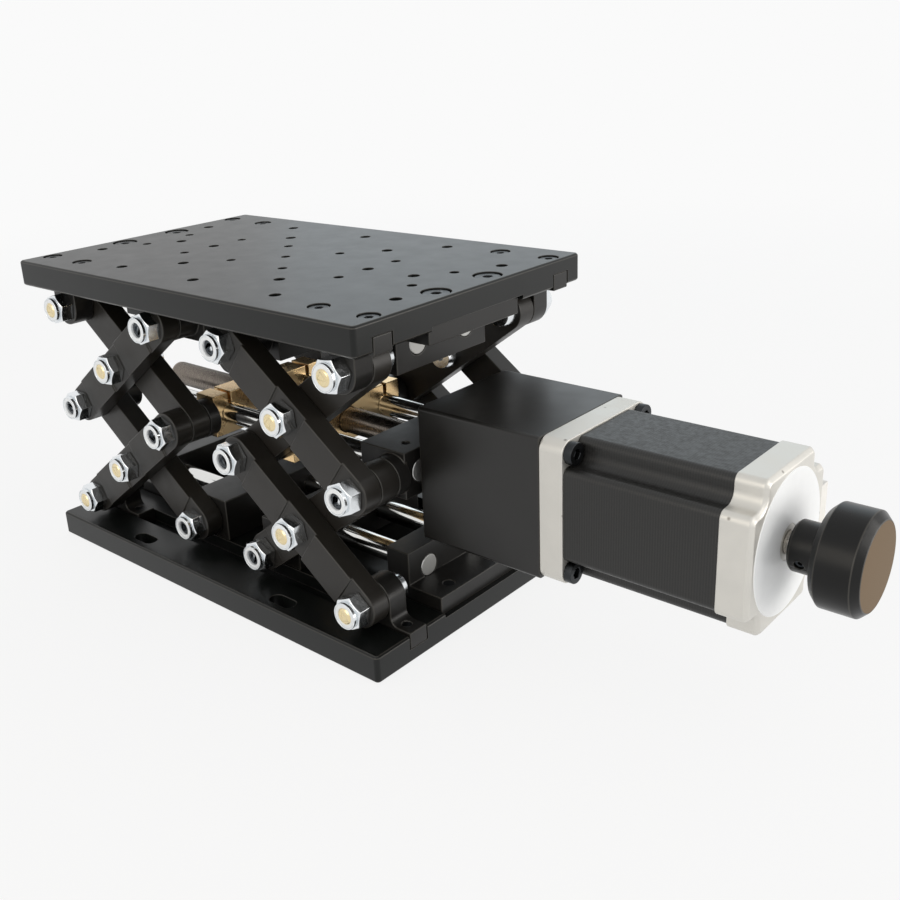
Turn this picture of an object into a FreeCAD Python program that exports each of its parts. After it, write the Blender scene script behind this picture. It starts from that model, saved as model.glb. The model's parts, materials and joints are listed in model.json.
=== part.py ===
import FreeCAD
import Part
import Sketcher
import math
import os
import re

# A motorized lab jack: two plates joined by two tiers of crossed links on each side,
# which a motor driven lead screw opens and closes through two brass carriages.
# Origin: centre of the base plate's underside. X runs along the plates towards the
# motor, Y across them away from the front links, Z up. Millimetres.

SIZES = {
    # plates
    "plate_length": 225.0,
    "plate_width": 140.0,
    "plate_thick": 12.0,
    "plate_corner": 2.0,
    "plate_edge": 0.8,
    "ear_groove_deep": 6.0,
    "groove_gap": 0.5,
    "foot_groove_deep": 2.0,
    # linkage
    "pivot_inset": 19.2,
    "pivot_lift": 10.4,
    "link_pitch": 84.4,
    "rest_angle": 36.1,
    "link_width": 17.5,
    "link_thick": 9.8,
    "layer_gap": 0.3,
    "link_inset": 29.5,
    "seat_deep": 1.0,
    "seat_half": 9.2,
    # pivot bolts and nuts
    "bolt_radius": 4.0,
    "pivot_gap": 0.08,
    "face_gap": 0.1,
    "head_radius": 6.5,
    "head_high": 4.6,
    "nut_flats": 13.0,
    "nut_high": 6.2,
    "nut_collar_radius": 5.7,
    "nut_collar_high": 1.8,
    "bolt_past_nut": 0.4,
    "stud_deep": 9.0,
    "bolt_socket_radius": 2.8,
    "bolt_socket_deep": 2.8,
    # hinge brackets
    "bracket_foot_rise": 1.2,
    "bracket_screw_x": 12.9,
    "bracket_screw_radius": 2.0,
    "bracket_bore_radius": 4.5,
    "bracket_head_radius": 4.0,
    "bracket_socket_radius": 1.8,
    "bracket_fillet": 3.5,
    # guide rods and their end blocks
    "rod_radius": 5.0,
    "rod_gap": 0.08,
    "rod_y": 15.0,
    "block_side_inset": 12.2,
    "block_inset": 32.5,
    "block_thick": 12.5,
    "foot_inset": 2.5,
    "block_foot_thick": 8.0,
    "block_over_rod": 10.6,
    "block_screw_inset": 8.5,
    "block_screw_y": 16.0,
    "block_screw_radius": 2.5,
    "block_bore_radius": 6.15,
    "block_head_radius": 5.4,
    "block_socket_radius": 2.25,
    "screw_bore_deep": 5.5,
    "screw_head_high": 4.1,
    "screw_socket_deep": 2.2,
    # sliding blocks on the base and top rods
    "slider_half_x": 12.0,
    "slider_clear": 0.6,
    "side_gap": 0.3,
    # middle frame
    "mid_block_long": 49.7,
    "mid_block_past_pivot": 6.4,
    "boss_long": 5.7,
    "mid_rod_inset": 9.5,
    "mid_block_half_z": 10.0,
    "clamp_screw_inset": 1.3,
    "clamp_screw_radius": 1.7,
    # brass carriages
    "carriage_inner_reach": 12.0,
    "carriage_outer_reach": 14.5,
    "carriage_half_z": 12.0,
    "carriage_slot": 2.0,
    "lead_screw_radius": 6.0,
    "lead_journal_radius": 4.0,
    "journal_end_in": 4.0,
    # motor housing
    "motor_half": 28.5,
    "housing_wall": 5.0,
    "housing_corner": 1.5,
    "housing_bore_gap": 3.0,
    "spigot_long": 2.9,
    "spigot_inset": 10.5,
    "spigot_half_z": 10.0,
    "coupling_radius": 11.0,
    "coupling_inset": 13.4,
    "coupling_long": 32.0,
    "coupling_clear": 12.0,
    "coupling_slit": 1.2,
    "coupling_slit_x": 5.0,
    "coupling_grip": 10.0,
    # motor
    "flange_corner": 5.0,
    "flange_thick": 10.0,
    "flange_screw_inset": 4.93,
    "flange_screw_radius": 2.5,
    "flange_head_radius": 4.3,
    "flange_head_high": 5.0,
    "notch_gap": 0.27,
    "notch_shoulder": 3.0,
    "notch_hollow": 4.5,
    "stator_long": 59.5,
    "bell_thick": 11.5,
    "bell_chamfer": 1.5,
    "shaft_radius": 4.0,
    "rotor_radius": 14.0,
    "rotor_gap": 0.5,
    "rotor_inset": 6.0,
    "connector_out": 8.0,
    "connector_half_z": 8.5,
    "connector_long": 12.0,
    "inlet_wall": 1.5,
    "inlet_deep": 5.0,
    # knob
    "knob_gap": 2.8,
    "knob_hub_long": 10.2,
    "knob_long": 16.5,
    "knob_radius": 18.0,
    "knob_hub_radius": 9.0,
    "knob_chamfer": 2.5,
    "knob_hub_chamfer": 1.0,
    "knob_wall": 4.0,
    "set_screw_inset": 4.6,
    "set_screw_radius": 1.7,
    # tapped holes in the top plate
    "hole_small_radius": 2.1,
    "hole_large_radius": 2.5,
    "hole_inner": 17.5,
    "hole_middle": 32.8,
    "hole_outer": 52.3,
    "hole_row_inset": 34.2,
    "hole_pair_inset": 23.5,
    "hole_pair_y": 13.1,
    "hole_end_inset": 14.1,
    # slots in the base plate
    "base_slot_x": 50.0,
    "base_slot_inset": 7.5,
    "base_slot_long": 14.0,
    "base_slot_radius": 3.3,
    # how far a cutting shape runs past the stock
    "overcut": 1.0,
}

# Sizes that follow from the ones above
DERIVED = {
    # linkage, from the plate's end and side
    "pivot_outer_x": "plate_length / 2 - pivot_inset",
    "half_rise": "link_pitch * sin(rest_angle) / 2",
    "half_run": "link_pitch * cos(rest_angle) / 2",
    "cross_x": "pivot_outer_x - half_run",
    "pivot_inner_x": "pivot_outer_x - 2 * half_run",
    "pivot_base": "plate_thick + pivot_lift",
    "pivot_mid": "pivot_base + 2 * half_rise",
    "pivot_top": "pivot_base + 4 * half_rise",
    "top_under": "pivot_top + pivot_lift",
    "inner_link_y": "plate_width / 2 - link_inset",
    "rear_mid": "inner_link_y + link_thick / 2",
    "rear_out": "inner_link_y + link_thick",
    "front_in": "rear_out + layer_gap",
    "front_mid": "front_in + link_thick / 2",
    "front_out": "front_in + link_thick",
    "seat_front": "front_out - seat_deep + face_gap",
    "seat_rear": "rear_out - seat_deep + face_gap",
    "seat_ear": "front_out + face_gap",
    "pin_bore": "bolt_radius + pivot_gap",
    "rod_bore": "rod_radius + rod_gap",
    # blocks and rods, inside the links
    "slider_side": "inner_link_y - side_gap",
    "block_half_y": "slider_side - block_side_inset",
    "block_inner_x": "plate_length / 2 - block_inset",
    "block_outer_x": "block_inner_x + block_thick",
    "block_foot_x": "plate_length / 2 - foot_inset",
    "block_screw_x": "plate_length / 2 - block_screw_inset",
    "mid_block_outer_x": "pivot_outer_x + mid_block_past_pivot",
    "mid_block_inner_x": "mid_block_outer_x - mid_block_long",
    "mid_block_half_y": "slider_side - boss_long",
    "mid_rod_y": "mid_block_half_y - mid_rod_inset",
    "mid_stud_root": "mid_rod_y + rod_radius + side_gap",
    "clamp_screw_x": "pivot_outer_x - clamp_screw_inset",
    "spigot_half_y": "mid_block_half_y - spigot_inset",
    # drive, one piece after another along X
    "housing_front_x": "mid_block_outer_x + spigot_long",
    "coupling_start_x": "housing_front_x + coupling_inset",
    "coupling_end_x": "coupling_start_x + coupling_long",
    "housing_back_x": "coupling_end_x + coupling_clear",
    "flange_back_x": "housing_back_x + flange_thick",
    "stator_end_x": "flange_back_x + stator_long",
    "bell_end_x": "stator_end_x + bell_thick",
    "knob_hub_x": "bell_end_x + knob_gap",
    "knob_face_x": "knob_hub_x + knob_hub_long",
    "knob_end_x": "knob_face_x + knob_long",
    "flange_screw_y": "motor_half - flange_screw_inset",
    "notch_flat": "flange_screw_y - flange_head_radius - notch_gap",
    # holes, from the plate's end and side
    "hole_row_x": "plate_length / 2 - hole_row_inset",
    "hole_pair_x": "plate_length / 2 - hole_pair_inset",
    "hole_end_x": "plate_length / 2 - hole_end_inset",
    "base_slot_y": "plate_width / 2 - base_slot_inset",
}

doc = FreeCAD.newDocument("lab_jack")
sheet = doc.addObject("Spreadsheet::Sheet", "Sizes")
nodes = []


def fill_sheet():
    """Writes each size once, as a plain number with its name."""
    for row, (name, value) in enumerate(SIZES.items(), 1):
        sheet.set(f"A{row}", str(value))
        sheet.setAlias(f"A{row}", name)
    doc.recompute()


def in_sheet(text):
    """Writes out the derived sizes in an expression and points the others at their cells."""
    def meant(hit):
        name = hit[0]
        if name in DERIVED:
            return f"({in_sheet(DERIVED[name])})"
        return f"Sizes.{name}" if name in SIZES else name

    return re.sub(r"[a-z_]+", meant, text)


def bind(item, **bindings):
    for place, text in bindings.items():
        item.setExpression(place.replace("__", "."), in_sheet(str(text)))


def at(item, x="0", y="0", z="0", turn=None):
    """Places an item by expressions, turned as (axis vector, angle) where it is given."""
    rotation = "rotation(vector(0; 0; 1); 0)"
    if turn:
        rotation = f"rotation(vector({turn[0]}); {turn[1]})"
    bind(item, Placement=f"placement(vector({x}; {y}; {z}); {rotation})")
    return item


def node(item, name):
    item.Label = name
    nodes.append(item)
    return item


# Turns that lay a primitive's own Z along another direction.
ALONG = {
    "X": ("0; 1; 0", "90"),
    "Y": ("1; 0; 0", "-90"),
    "-Y": ("1; 0; 0", "90"),
    "Z": ("0; 0; 1", "0"),
    "-Z": ("1; 0; 0", "180"),
    "set screw": ("1; 0; 0", "110"),
}


def cylinder(radius, length, x="0", y="0", z="0", along="Z"):
    rod = doc.addObject("Part::Cylinder", "round")
    bind(rod, Radius=radius, Height=length)
    return at(rod, x, y, z, ALONG[along])


def block(x_low, x_high, y_low, y_high, z_low, z_high):
    brick = doc.addObject("Part::Box", "brick")
    bind(brick, Length=f"({x_high}) - ({x_low})", Width=f"({y_high}) - ({y_low})")
    bind(brick, Height=f"({z_high}) - ({z_low})")
    return at(brick, x_low, y_low, z_low)


def fuse(pieces):
    if len(pieces) == 1:
        return pieces[0]
    whole = doc.addObject("Part::MultiFuse", "joined")
    whole.Shapes = pieces
    whole.Refine = True
    return whole


def cut(stock, tools):
    result = doc.addObject("Part::Cut", "cut")
    result.Base = stock
    result.Tool = fuse(tools)
    result.Refine = True
    return result


def group(pieces):
    several = doc.addObject("Part::Compound", "group")
    several.Links = pieces
    return several


def mirrored(item, normal):
    """The same piece on the other side of the object."""
    copy = doc.addObject("Part::Mirroring", "mirrored")
    copy.Source = item
    copy.Normal = FreeCAD.Vector(*normal)
    return copy


ACROSS = (0, 1, 0)
ENDWISE = (1, 0, 0)


def new_body(name):
    body = doc.addObject("PartDesign::Body", name)
    return body


def sketch_on(body, role, offset="0"):
    sketch = body.newObject("Sketcher::SketchObject", "outline")
    plane = [each for each in body.Origin.OriginFeatures if each.Role == role][0]
    sketch.AttachmentSupport = [(plane, "")]
    sketch.MapMode = "FlatFace"
    bind(sketch, AttachmentOffset__Base__z=offset)
    return sketch


def fix_point(sketch, geometry, point, x, y, label):
    """Ties a sketch point to its expressions."""
    for kind, text in (("DistanceX", x), ("DistanceY", y)):
        index = sketch.addConstraint(Sketcher.Constraint(kind, -1, 1, geometry, point, 1.0))
        sketch.renameConstraint(index, f"{label}_{kind}")
        bind(sketch, **{f"Constraints__{label}_{kind}": text})


def polygon(sketch, corners):
    """A closed outline of straight sides through the corners."""
    count = len(corners)
    first = sketch.GeometryCount
    ring = [FreeCAD.Vector(math.cos(6.283 * k / count), math.sin(6.283 * k / count), 0)
            for k in range(count)]
    for k in range(count):
        sketch.addGeometry(Part.LineSegment(ring[k], ring[(k + 1) % count]))
    for k in range(count):
        after = first + (k + 1) % count
        sketch.addConstraint(Sketcher.Constraint("Coincident", first + k, 2, after, 1))
    for k, (x, y) in enumerate(corners):
        fix_point(sketch, first + k, 1, x, y, f"corner{first + k}")


def rectangle(sketch, x_low, x_high, y_low, y_high):
    polygon(sketch, [(x_low, y_low), (x_high, y_low), (x_high, y_high), (x_low, y_high)])


def circles(sketch, centres, radius):
    for x, y in centres:
        index = sketch.addGeometry(Part.Circle(FreeCAD.Vector(1, 1, 0), FreeCAD.Vector(0, 0, 1), 1.0))
        fix_point(sketch, index, 3, x, y, f"centre{index}")
        held = sketch.addConstraint(Sketcher.Constraint("Radius", index, 1.0))
        sketch.renameConstraint(held, f"radius{index}")
        bind(sketch, **{f"Constraints__radius{index}": radius})


def slot(sketch, x, y, half_run, radius):
    """A round ended outline along the sketch's own X, centred on a point."""
    first = sketch.GeometryCount
    for side, turn in ((-1, 1), (1, -1)):
        centre = FreeCAD.Vector(3 * side, 0, 0)
        arc = Part.Circle(centre, FreeCAD.Vector(0, 0, 1), 1.0)
        start = math.pi / 2 * turn
        sketch.addGeometry(Part.ArcOfCircle(arc, start, start + math.pi))
    sketch.addGeometry(Part.LineSegment(FreeCAD.Vector(-3, -1, 0), FreeCAD.Vector(3, -1, 0)))
    sketch.addGeometry(Part.LineSegment(FreeCAD.Vector(3, 1, 0), FreeCAD.Vector(-3, 1, 0)))
    left, right, low, high = first, first + 1, first + 2, first + 3
    for one, its_end, other, other_end in ((left, 2, low, 1), (low, 2, right, 1),
                                           (right, 2, high, 1), (high, 2, left, 1)):
        sketch.addConstraint(Sketcher.Constraint("Tangent", one, its_end, other, other_end))
    sketch.addConstraint(Sketcher.Constraint("Equal", left, right))
    fix_point(sketch, left, 3, f"({x}) - ({half_run})", y, f"slot{left}")
    index = sketch.addConstraint(Sketcher.Constraint("DistanceX", left, 3, right, 3, 6.0))
    sketch.renameConstraint(index, f"run{left}")
    sketch.addConstraint(Sketcher.Constraint("Horizontal", low))
    held = sketch.addConstraint(Sketcher.Constraint("Radius", left, 1.0))
    sketch.renameConstraint(held, f"radius{left}")
    bind(sketch, **{f"Constraints__run{left}": f"2 * ({half_run})"})
    bind(sketch, **{f"Constraints__radius{left}": radius})


def pad(body, sketch, length, both_ways=False, flip=False):
    feature = body.newObject("PartDesign::Pad", "pad")
    feature.Profile = sketch
    if both_ways:
        feature.SideType = "Symmetric"
    feature.Reversed = flip
    bind(feature, Length=length)
    return feature


def pocket(body, sketch, depth=None, flip=False):
    """Cuts the outline to a depth, or through everything both ways."""
    doc.recompute()
    before = body.Shape.Volume
    feature = body.newObject("PartDesign::Pocket", "pocket")
    feature.Profile = sketch
    feature.Reversed = flip
    if depth:
        bind(feature, Length=depth)
    else:
        feature.SideType = "Symmetric"
        feature.Type = "ThroughAll"
    doc.recompute()
    if not feature.Shape.Volume < before:
        raise RuntimeError(f"{body.Label}: a pocket removes nothing")
    return feature


def edges_along(shape, direction, keep):
    """Names of the straight edges along a direction whose middle passes a test."""
    names = []
    for number, edge in enumerate(shape.Edges, 1):
        run = edge.Vertexes[-1].Point - edge.Vertexes[0].Point
        if run.Length > 0.1 and abs(abs(run.normalize().dot(direction)) - 1) < 1e-6:
            if keep(edge.CenterOfMass):
                names.append(f"Edge{number}")
    return names


def round_edges(body, names, radius, kind="PartDesign::Fillet"):
    base = body.Tip
    feature = body.newObject(kind, "edge_break")
    feature.Base = (base, names)
    bind(feature, **{"Radius" if kind == "PartDesign::Fillet" else "Size": radius})
    doc.recompute()
    return feature


# Plates

def plate_blank(name, low):
    """A plate with rounded upright corners and a fine chamfer round both faces."""
    body = new_body(name)
    sketch = sketch_on(body, "XY_Plane", low)
    rectangle(sketch, "-plate_length / 2", "plate_length / 2", "-plate_width / 2", "plate_width / 2")
    pad(body, sketch, "plate_thick")
    doc.recompute()
    upright = edges_along(body.Shape, FreeCAD.Vector(0, 0, 1), lambda middle: True)
    round_edges(body, upright, "plate_corner")
    face_names = [f"Face{n}" for n, face in enumerate(body.Shape.Faces, 1)
                  if abs(face.normalAt(0, 0).z) > 0.99]
    round_edges(body, face_names, "plate_edge", "PartDesign::Chamfer")
    return body


def both_signs(x, y):
    """The points that mirror a point across the plate's two centre lines."""
    xs = [x] if x == "0" else [x, f"-{x}"]
    ys = [y] if y == "0" else [y, f"-{y}"]
    return [(one, other) for one in xs for other in ys]


def every(pairs):
    return [point for x, y in pairs for point in both_signs(x, y)]


def plate_grooves(body, face, bracket_mid, inward):
    """Grooves along the plate for the bracket feet and the rod block feet."""
    half_groove = "(link_thick / 2 + groove_gap)"
    ears = sketch_on(body, "XY_Plane", face)
    for sign in ("", "-"):
        y_mid = f"{sign}{bracket_mid}"
        rectangle(ears, "-plate_length / 2", "plate_length / 2",
                  f"{y_mid} - {half_groove}", f"{y_mid} + {half_groove}")
    pocket(body, ears, "ear_groove_deep", flip=inward)
    feet = sketch_on(body, "XY_Plane", face)
    for x_low, x_high in (("block_inner_x - groove_gap", "plate_length / 2"),
                          ("-plate_length / 2", "-block_inner_x + groove_gap")):
        rectangle(feet, x_low, x_high, "-block_half_y - groove_gap", "block_half_y + groove_gap")
    pocket(body, feet, "foot_groove_deep", flip=inward)


def screw_holes(body, face, bracket_mid, inward):
    """Clearance holes with counterbores for the bracket and rod block screws."""
    bracket = every([(f"(pivot_outer_x {sign} bracket_screw_x)", bracket_mid) for sign in "-+"])
    blocks = every([("block_screw_x", "block_screw_y")])
    for centres, thin, wide in ((bracket, "bracket_screw_radius", "bracket_bore_radius"),
                                (blocks, "block_screw_radius", "block_bore_radius")):
        through = sketch_on(body, "XY_Plane", face)
        circles(through, centres, f"{thin} + groove_gap / 2")
        pocket(body, through)
        bores = sketch_on(body, "XY_Plane", face)
        circles(bores, centres, wide)
        pocket(body, bores, "screw_bore_deep", flip=inward)


def base_plate():
    body = plate_blank("base_plate", "0")
    plate_grooves(body, "plate_thick", "rear_mid", False)
    screw_holes(body, "0", "rear_mid", True)
    slots = sketch_on(body, "XY_Plane")
    for x, y in both_signs("base_slot_x", "base_slot_y"):
        slot(slots, x, y, "(base_slot_long / 2 - base_slot_radius)", "base_slot_radius")
    pocket(body, slots)
    return node(body, "base_plate")


def top_plate():
    body = plate_blank("top_plate", "top_under")
    plate_grooves(body, "top_under", "front_mid", True)
    screw_holes(body, "top_under + plate_thick", "front_mid", False)
    small = sketch_on(body, "XY_Plane", "top_under")
    circles(small, every([("0", "0"), ("hole_inner", "hole_inner"), ("hole_outer", "hole_inner"),
                          ("hole_pair_x", "hole_pair_y")]), "hole_small_radius")
    pocket(body, small)
    large = sketch_on(body, "XY_Plane", "top_under")
    circles(large, every([("hole_middle", "hole_middle"), ("hole_outer", "hole_outer"),
                          ("0", "hole_outer"), ("hole_outer", "0"), ("hole_row_x", "0"),
                          ("hole_end_x", "hole_middle")]), "hole_large_radius")
    pocket(body, large)
    return node(body, "top_plate")


# Links of the scissor

def link(name, x, z, lean, layer_y, side, seats):
    """A round ended bar with three pivot holes and milled nut seats on its outer face.

    x and z are its crossing pivot, lean is the sign of its slope and side its side in Y.
    """
    body = new_body(name)
    outline = sketch_on(body, "XZ_Plane")
    slot(outline, "0", "0", "link_pitch / 2", "link_width / 2")
    pad(body, outline, "link_thick", both_ways=True)
    bores = sketch_on(body, "XZ_Plane")
    pivots = ["-link_pitch / 2", "0", "link_pitch / 2"]
    circles(bores, [(place, "0") for place in pivots], "pin_bore")
    pocket(body, bores)
    if seats:
        milled = sketch_on(body, "XZ_Plane", "link_thick / 2")
        for place in (pivots[index] for index in seats):
            rectangle(milled, f"{place} - seat_half", f"{place} + seat_half",
                      "-link_width", "link_width")
        pocket(body, milled, "seat_deep", flip=False)
    tilt = f"{-lean} * rest_angle"
    over = 180 if side > 0 else 0
    bind(body, Placement=f"placement(vector({x}; {side} * {layer_y}; {z});"
                         f" rotation(vector(0; 1; 0); {tilt})"
                         f" * rotation(vector(1; 0; 0); {over}))")
    return node(body, name)


def all_links():
    """Two tiers, two ends and two sides, a front and a rear link at each crossing."""
    for end, hand in (("right", 1), ("left", -1)):
        x = f"{hand} * cross_x"
        for tier, z in (("lower", "pivot_base + half_rise"),
                        ("upper", "pivot_mid + half_rise")):
            for place, side in (("near", -1), ("far", 1)):
                link(f"{tier}_{end}_front_link_{place}", x, z, -hand, "front_mid", side,
                     (0, 1, 2))
                # the nut of the base slider bears on the low end of the rear link
                rear_seats = ()
                if tier == "lower":
                    rear_seats = (0,) if hand > 0 else (2,)
                link(f"{tier}_{end}_rear_link_{place}", x, z, hand, "rear_mid", side,
                     rear_seats)


# Pivot bolts, studs and nuts

def pivot_nut(x, z, seat):
    """A hexagon nut with the collar of its locking ring, on the near side."""
    hexagon = doc.addObject("Part::Prism", "nut")
    hexagon.Polygon = 6
    bind(hexagon, Circumradius="nut_flats / 2 / cos(30)", Height="nut_high")
    at(hexagon, x, f"-{seat}", z, ALONG["-Y"])
    collar = cylinder("nut_collar_radius", "nut_collar_high", x, f"-{seat} - nut_high", z, "-Y")
    reach = "nut_high + nut_collar_high"
    bore = cylinder("bolt_radius + pivot_gap / 2", f"{reach} + 2 * overcut", x,
                    f"-{seat} + overcut", z, "-Y")
    return cut(fuse([hexagon, collar]), [bore])


def pivot_end(seat):
    return f"({seat} + nut_high + nut_collar_high + bolt_past_nut)"


def pivot_bolt(x, z, seat):
    """A bolt whose low head bears on the inner face of the link pair."""
    head_face = "(inner_link_y - face_gap)"
    shank = cylinder("bolt_radius", f"{pivot_end(seat)} - {head_face}", x, f"-{head_face}", z, "-Y")
    head = cylinder("head_radius", "head_high", x, f"-{head_face} + head_high", z, "-Y")
    socket = doc.addObject("Part::Prism", "socket")
    socket.Polygon = 6
    bind(socket, Circumradius="bolt_socket_radius", Height="bolt_socket_deep")
    at(socket, x, f"-{head_face} + head_high", z, ALONG["-Y"])
    return cut(fuse([head, shank]), [socket])


def pivot_stud(x, z, seat, root):
    """A stud screwed into the piece that carries it."""
    return cylinder("bolt_radius", f"{pivot_end(seat)} - ({root})", x, f"-({root})", z, "-Y")


def pivot_set(name, near_pieces):
    """Near side bolts and nuts with their far side mirror images, as one set."""
    far = [mirrored(piece, ACROSS) for piece in near_pieces]
    return node(group(near_pieces + far), name)


def all_pivots():
    for name, z, seat in (("base_pivot_bolts", "pivot_base", "seat_front"),
                          ("top_pivot_bolts", "pivot_top", "seat_ear")):
        pieces = []
        for hand in (1, -1):
            x = f"{hand} * pivot_outer_x"
            pieces += [pivot_bolt(x, z, seat), pivot_nut(x, z, seat)]
        pivot_set(name, pieces)
    pieces = []
    for hand in (1, -1):
        x = f"{hand} * pivot_outer_x"
        pieces += [pivot_stud(x, "pivot_mid", "seat_front", "mid_stud_root"),
                   pivot_nut(x, "pivot_mid", "seat_front")]
    pivot_set("middle_pivot_studs", pieces)
    for end, hand in (("right", 1), ("left", -1)):
        cross = f"{hand} * cross_x"
        inner = f"{hand} * pivot_inner_x"
        for tier, z in (("lower", "pivot_base + half_rise"),
                        ("upper", "pivot_mid + half_rise")):
            pivot_set(f"{tier}_{end}_crossing_bolts",
                      [pivot_bolt(cross, z, "seat_front"), pivot_nut(cross, z, "seat_front")])
        root = "slider_side - stud_deep"
        for part, z, seat in (("base_slider", "pivot_base", "seat_rear"),
                              ("carriage", "pivot_mid", "seat_front"),
                              ("top_slider", "pivot_top", "seat_front")):
            pivot_set(f"{end}_{part}_studs",
                      [pivot_stud(inner, z, seat, root), pivot_nut(inner, z, seat)])


# Hinge brackets

def hinge_bracket(hand, layer_in, layer_mid, pivot_z, foot_low, foot_high, screw_face):
    """A foot bar in its groove with a round ear that carries the outer pivot.

    The neck of the ear runs into the foot with a hollow fillet on either side.
    """
    x = f"{hand} * pivot_outer_x"
    half = "link_thick / 2"
    mid = f"-{layer_mid}"
    foot = block(f"{x} - pivot_inset", f"{x} + pivot_inset",
                 f"{mid} - {half}", f"{mid} + {half}", foot_low, foot_high)
    standing = screw_face == foot_low
    low, high = (foot_low, pivot_z) if standing else (pivot_z, foot_high)
    neck = block(f"{x} - link_width / 2", f"{x} + link_width / 2",
                 f"{mid} - {half}", f"{mid} + {half}", low, high)
    ear = cylinder("link_width / 2", "link_thick", x, f"-{layer_in}", pivot_z, "-Y")
    near, far = f"{mid} - {half}", f"{mid} + {half}"
    shelf = f"{foot_high} + bracket_fillet" if standing else f"{foot_low} - bracket_fillet"
    gussets = block(f"{x} - link_width / 2 - bracket_fillet", f"{x} + link_width / 2 + bracket_fillet",
                    near, far, *((foot_low, shelf) if standing else (shelf, foot_high)))
    tools = []
    for sign in "-+":
        tools.append(cylinder("bracket_fillet", "link_thick + 2 * overcut",
                              f"{x} {sign} (link_width / 2 + bracket_fillet)",
                              f"-{layer_in} + overcut", shelf, "-Y"))
    tools.append(cylinder("pin_bore", "link_thick + 2 * overcut", x, f"-{layer_in} + overcut",
                          pivot_z, "-Y"))
    for sign in "-+":
        tools.append(cylinder("bracket_screw_radius", f"{foot_high} - {foot_low} + 2 * overcut",
                              f"{x} {sign} bracket_screw_x", mid, f"{foot_low} - overcut"))
    return cut(fuse([foot, neck, ear, gussets]), tools)


def hinge_brackets(name, layer_in, layer_mid, pivot_z, foot_low, foot_high, screw_face):
    near = [hinge_bracket(hand, layer_in, layer_mid, pivot_z, foot_low, foot_high, screw_face)
            for hand in (1, -1)]
    far = [mirrored(each, ACROSS) for each in near]
    return node(group(near + far), name)


# Guide rods, rod blocks and sliders

def guide_rods(name, y, z, half_long):
    """Two round rods side by side."""
    rods = []
    for sign in ("-", ""):
        rod = cylinder("rod_radius", f"2 * {half_long}", f"-{half_long}", f"{sign}{y}", z, "X")
        rods.append(rod)
    return node(group(rods), name)


def rod_block(name, hand, pivot_z, up):
    """An end block that clamps both guide rods, with a screwed foot towards the plate's end.

    up is 1 on the base plate and -1 under the top plate.
    """
    root = "(plate_thick - foot_groove_deep)" if up > 0 else "(top_under + foot_groove_deep)"
    tip = f"({pivot_z} + {up} * block_over_rod)"
    shelf = f"({root} + {up} * block_foot_thick)"
    levels = (root, tip, shelf) if up > 0 else (tip, root, shelf)
    body_z = (levels[0], levels[1])
    foot_z = (root, shelf) if up > 0 else (shelf, root)
    wall = block("block_inner_x", "block_outer_x", "-block_half_y", "block_half_y", *body_z)
    foot = block("block_outer_x - overcut", "block_foot_x", "-block_half_y", "block_half_y", *foot_z)
    tools = []
    for sign in ("-", ""):
        tools.append(cylinder("rod_radius", "block_outer_x - block_inner_x + 2 * overcut",
                              "block_inner_x - overcut", f"{sign}rod_y", pivot_z, "X"))
        tools.append(cylinder("block_screw_radius", "block_foot_thick + 2 * overcut", "block_screw_x",
                              f"{sign}block_screw_y", f"{foot_z[0]} - overcut"))
    made = cut(fuse([wall, foot]), tools)
    if hand < 0:
        made = mirrored(made, ENDWISE)
    return node(made, name)


def slider(name, hand, pivot_z, low, high, ears):
    """A block that slides on both guide rods, bored for its two studs.

    ears adds a round boss each side that fills the rear link layer.
    """
    x_mid = "pivot_inner_x"
    stock = [block(f"{x_mid} - slider_half_x", f"{x_mid} + slider_half_x",
                   "-slider_side", "slider_side", low, high)]
    tools = []
    ear_out = "(rear_out - layer_gap / 2)" if ears else "slider_side"
    for way, sign in (("-Y", "-"), ("Y", "")):
        if ears:
            stock.append(cylinder("link_width / 2", f"{ear_out} - slider_side + overcut", x_mid,
                                  f"{sign}(slider_side - overcut)", pivot_z, way))
        tools.append(cylinder("bolt_radius", f"{ear_out} - slider_side + stud_deep + overcut",
                              x_mid, f"{sign}(slider_side - stud_deep)", pivot_z, way))
        tools.append(cylinder("rod_bore", "2 * slider_half_x + 2 * overcut",
                              f"{x_mid} - slider_half_x - overcut", f"{sign}rod_y", pivot_z, "X"))
    made = cut(fuse(stock), tools)
    if hand < 0:
        made = mirrored(made, ENDWISE)
    return node(made, name)


# Middle frame and brass carriages

def middle_block(name, hand):
    """An end block of the middle frame with bosses that carry the outer pivots.

    A tapped hole over each rod takes the screw that holds it.
    """
    low, high = "(pivot_mid - mid_block_half_z)", "(pivot_mid + mid_block_half_z)"
    stock = [block("mid_block_inner_x", "mid_block_outer_x",
                   "-mid_block_half_y", "mid_block_half_y", low, high)]
    long = "mid_block_outer_x - mid_block_inner_x + 2 * overcut"
    tools = [cylinder("lead_journal_radius + rod_gap", long, "mid_block_inner_x - overcut", "0",
                      "pivot_mid", "X")]
    for way, sign in (("-Y", "-"), ("Y", "")):
        stock.append(cylinder("link_width / 2", "slider_side - mid_block_half_y + overcut",
                              "pivot_outer_x", f"{sign}(mid_block_half_y - overcut)", "pivot_mid", way))
        tools.append(cylinder("bolt_radius", "slider_side - mid_stud_root + overcut",
                              "pivot_outer_x", f"{sign}mid_stud_root", "pivot_mid", way))
        tools.append(cylinder("rod_radius", long, "mid_block_inner_x - overcut", f"{sign}mid_rod_y",
                              "pivot_mid", "X"))
        tools.append(cylinder("clamp_screw_radius", "mid_block_half_z + overcut", "clamp_screw_x",
                              f"{sign}mid_rod_y", "pivot_mid"))
    made = cut(fuse(stock), tools)
    if hand < 0:
        made = mirrored(made, ENDWISE)
    return node(made, name)


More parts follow.
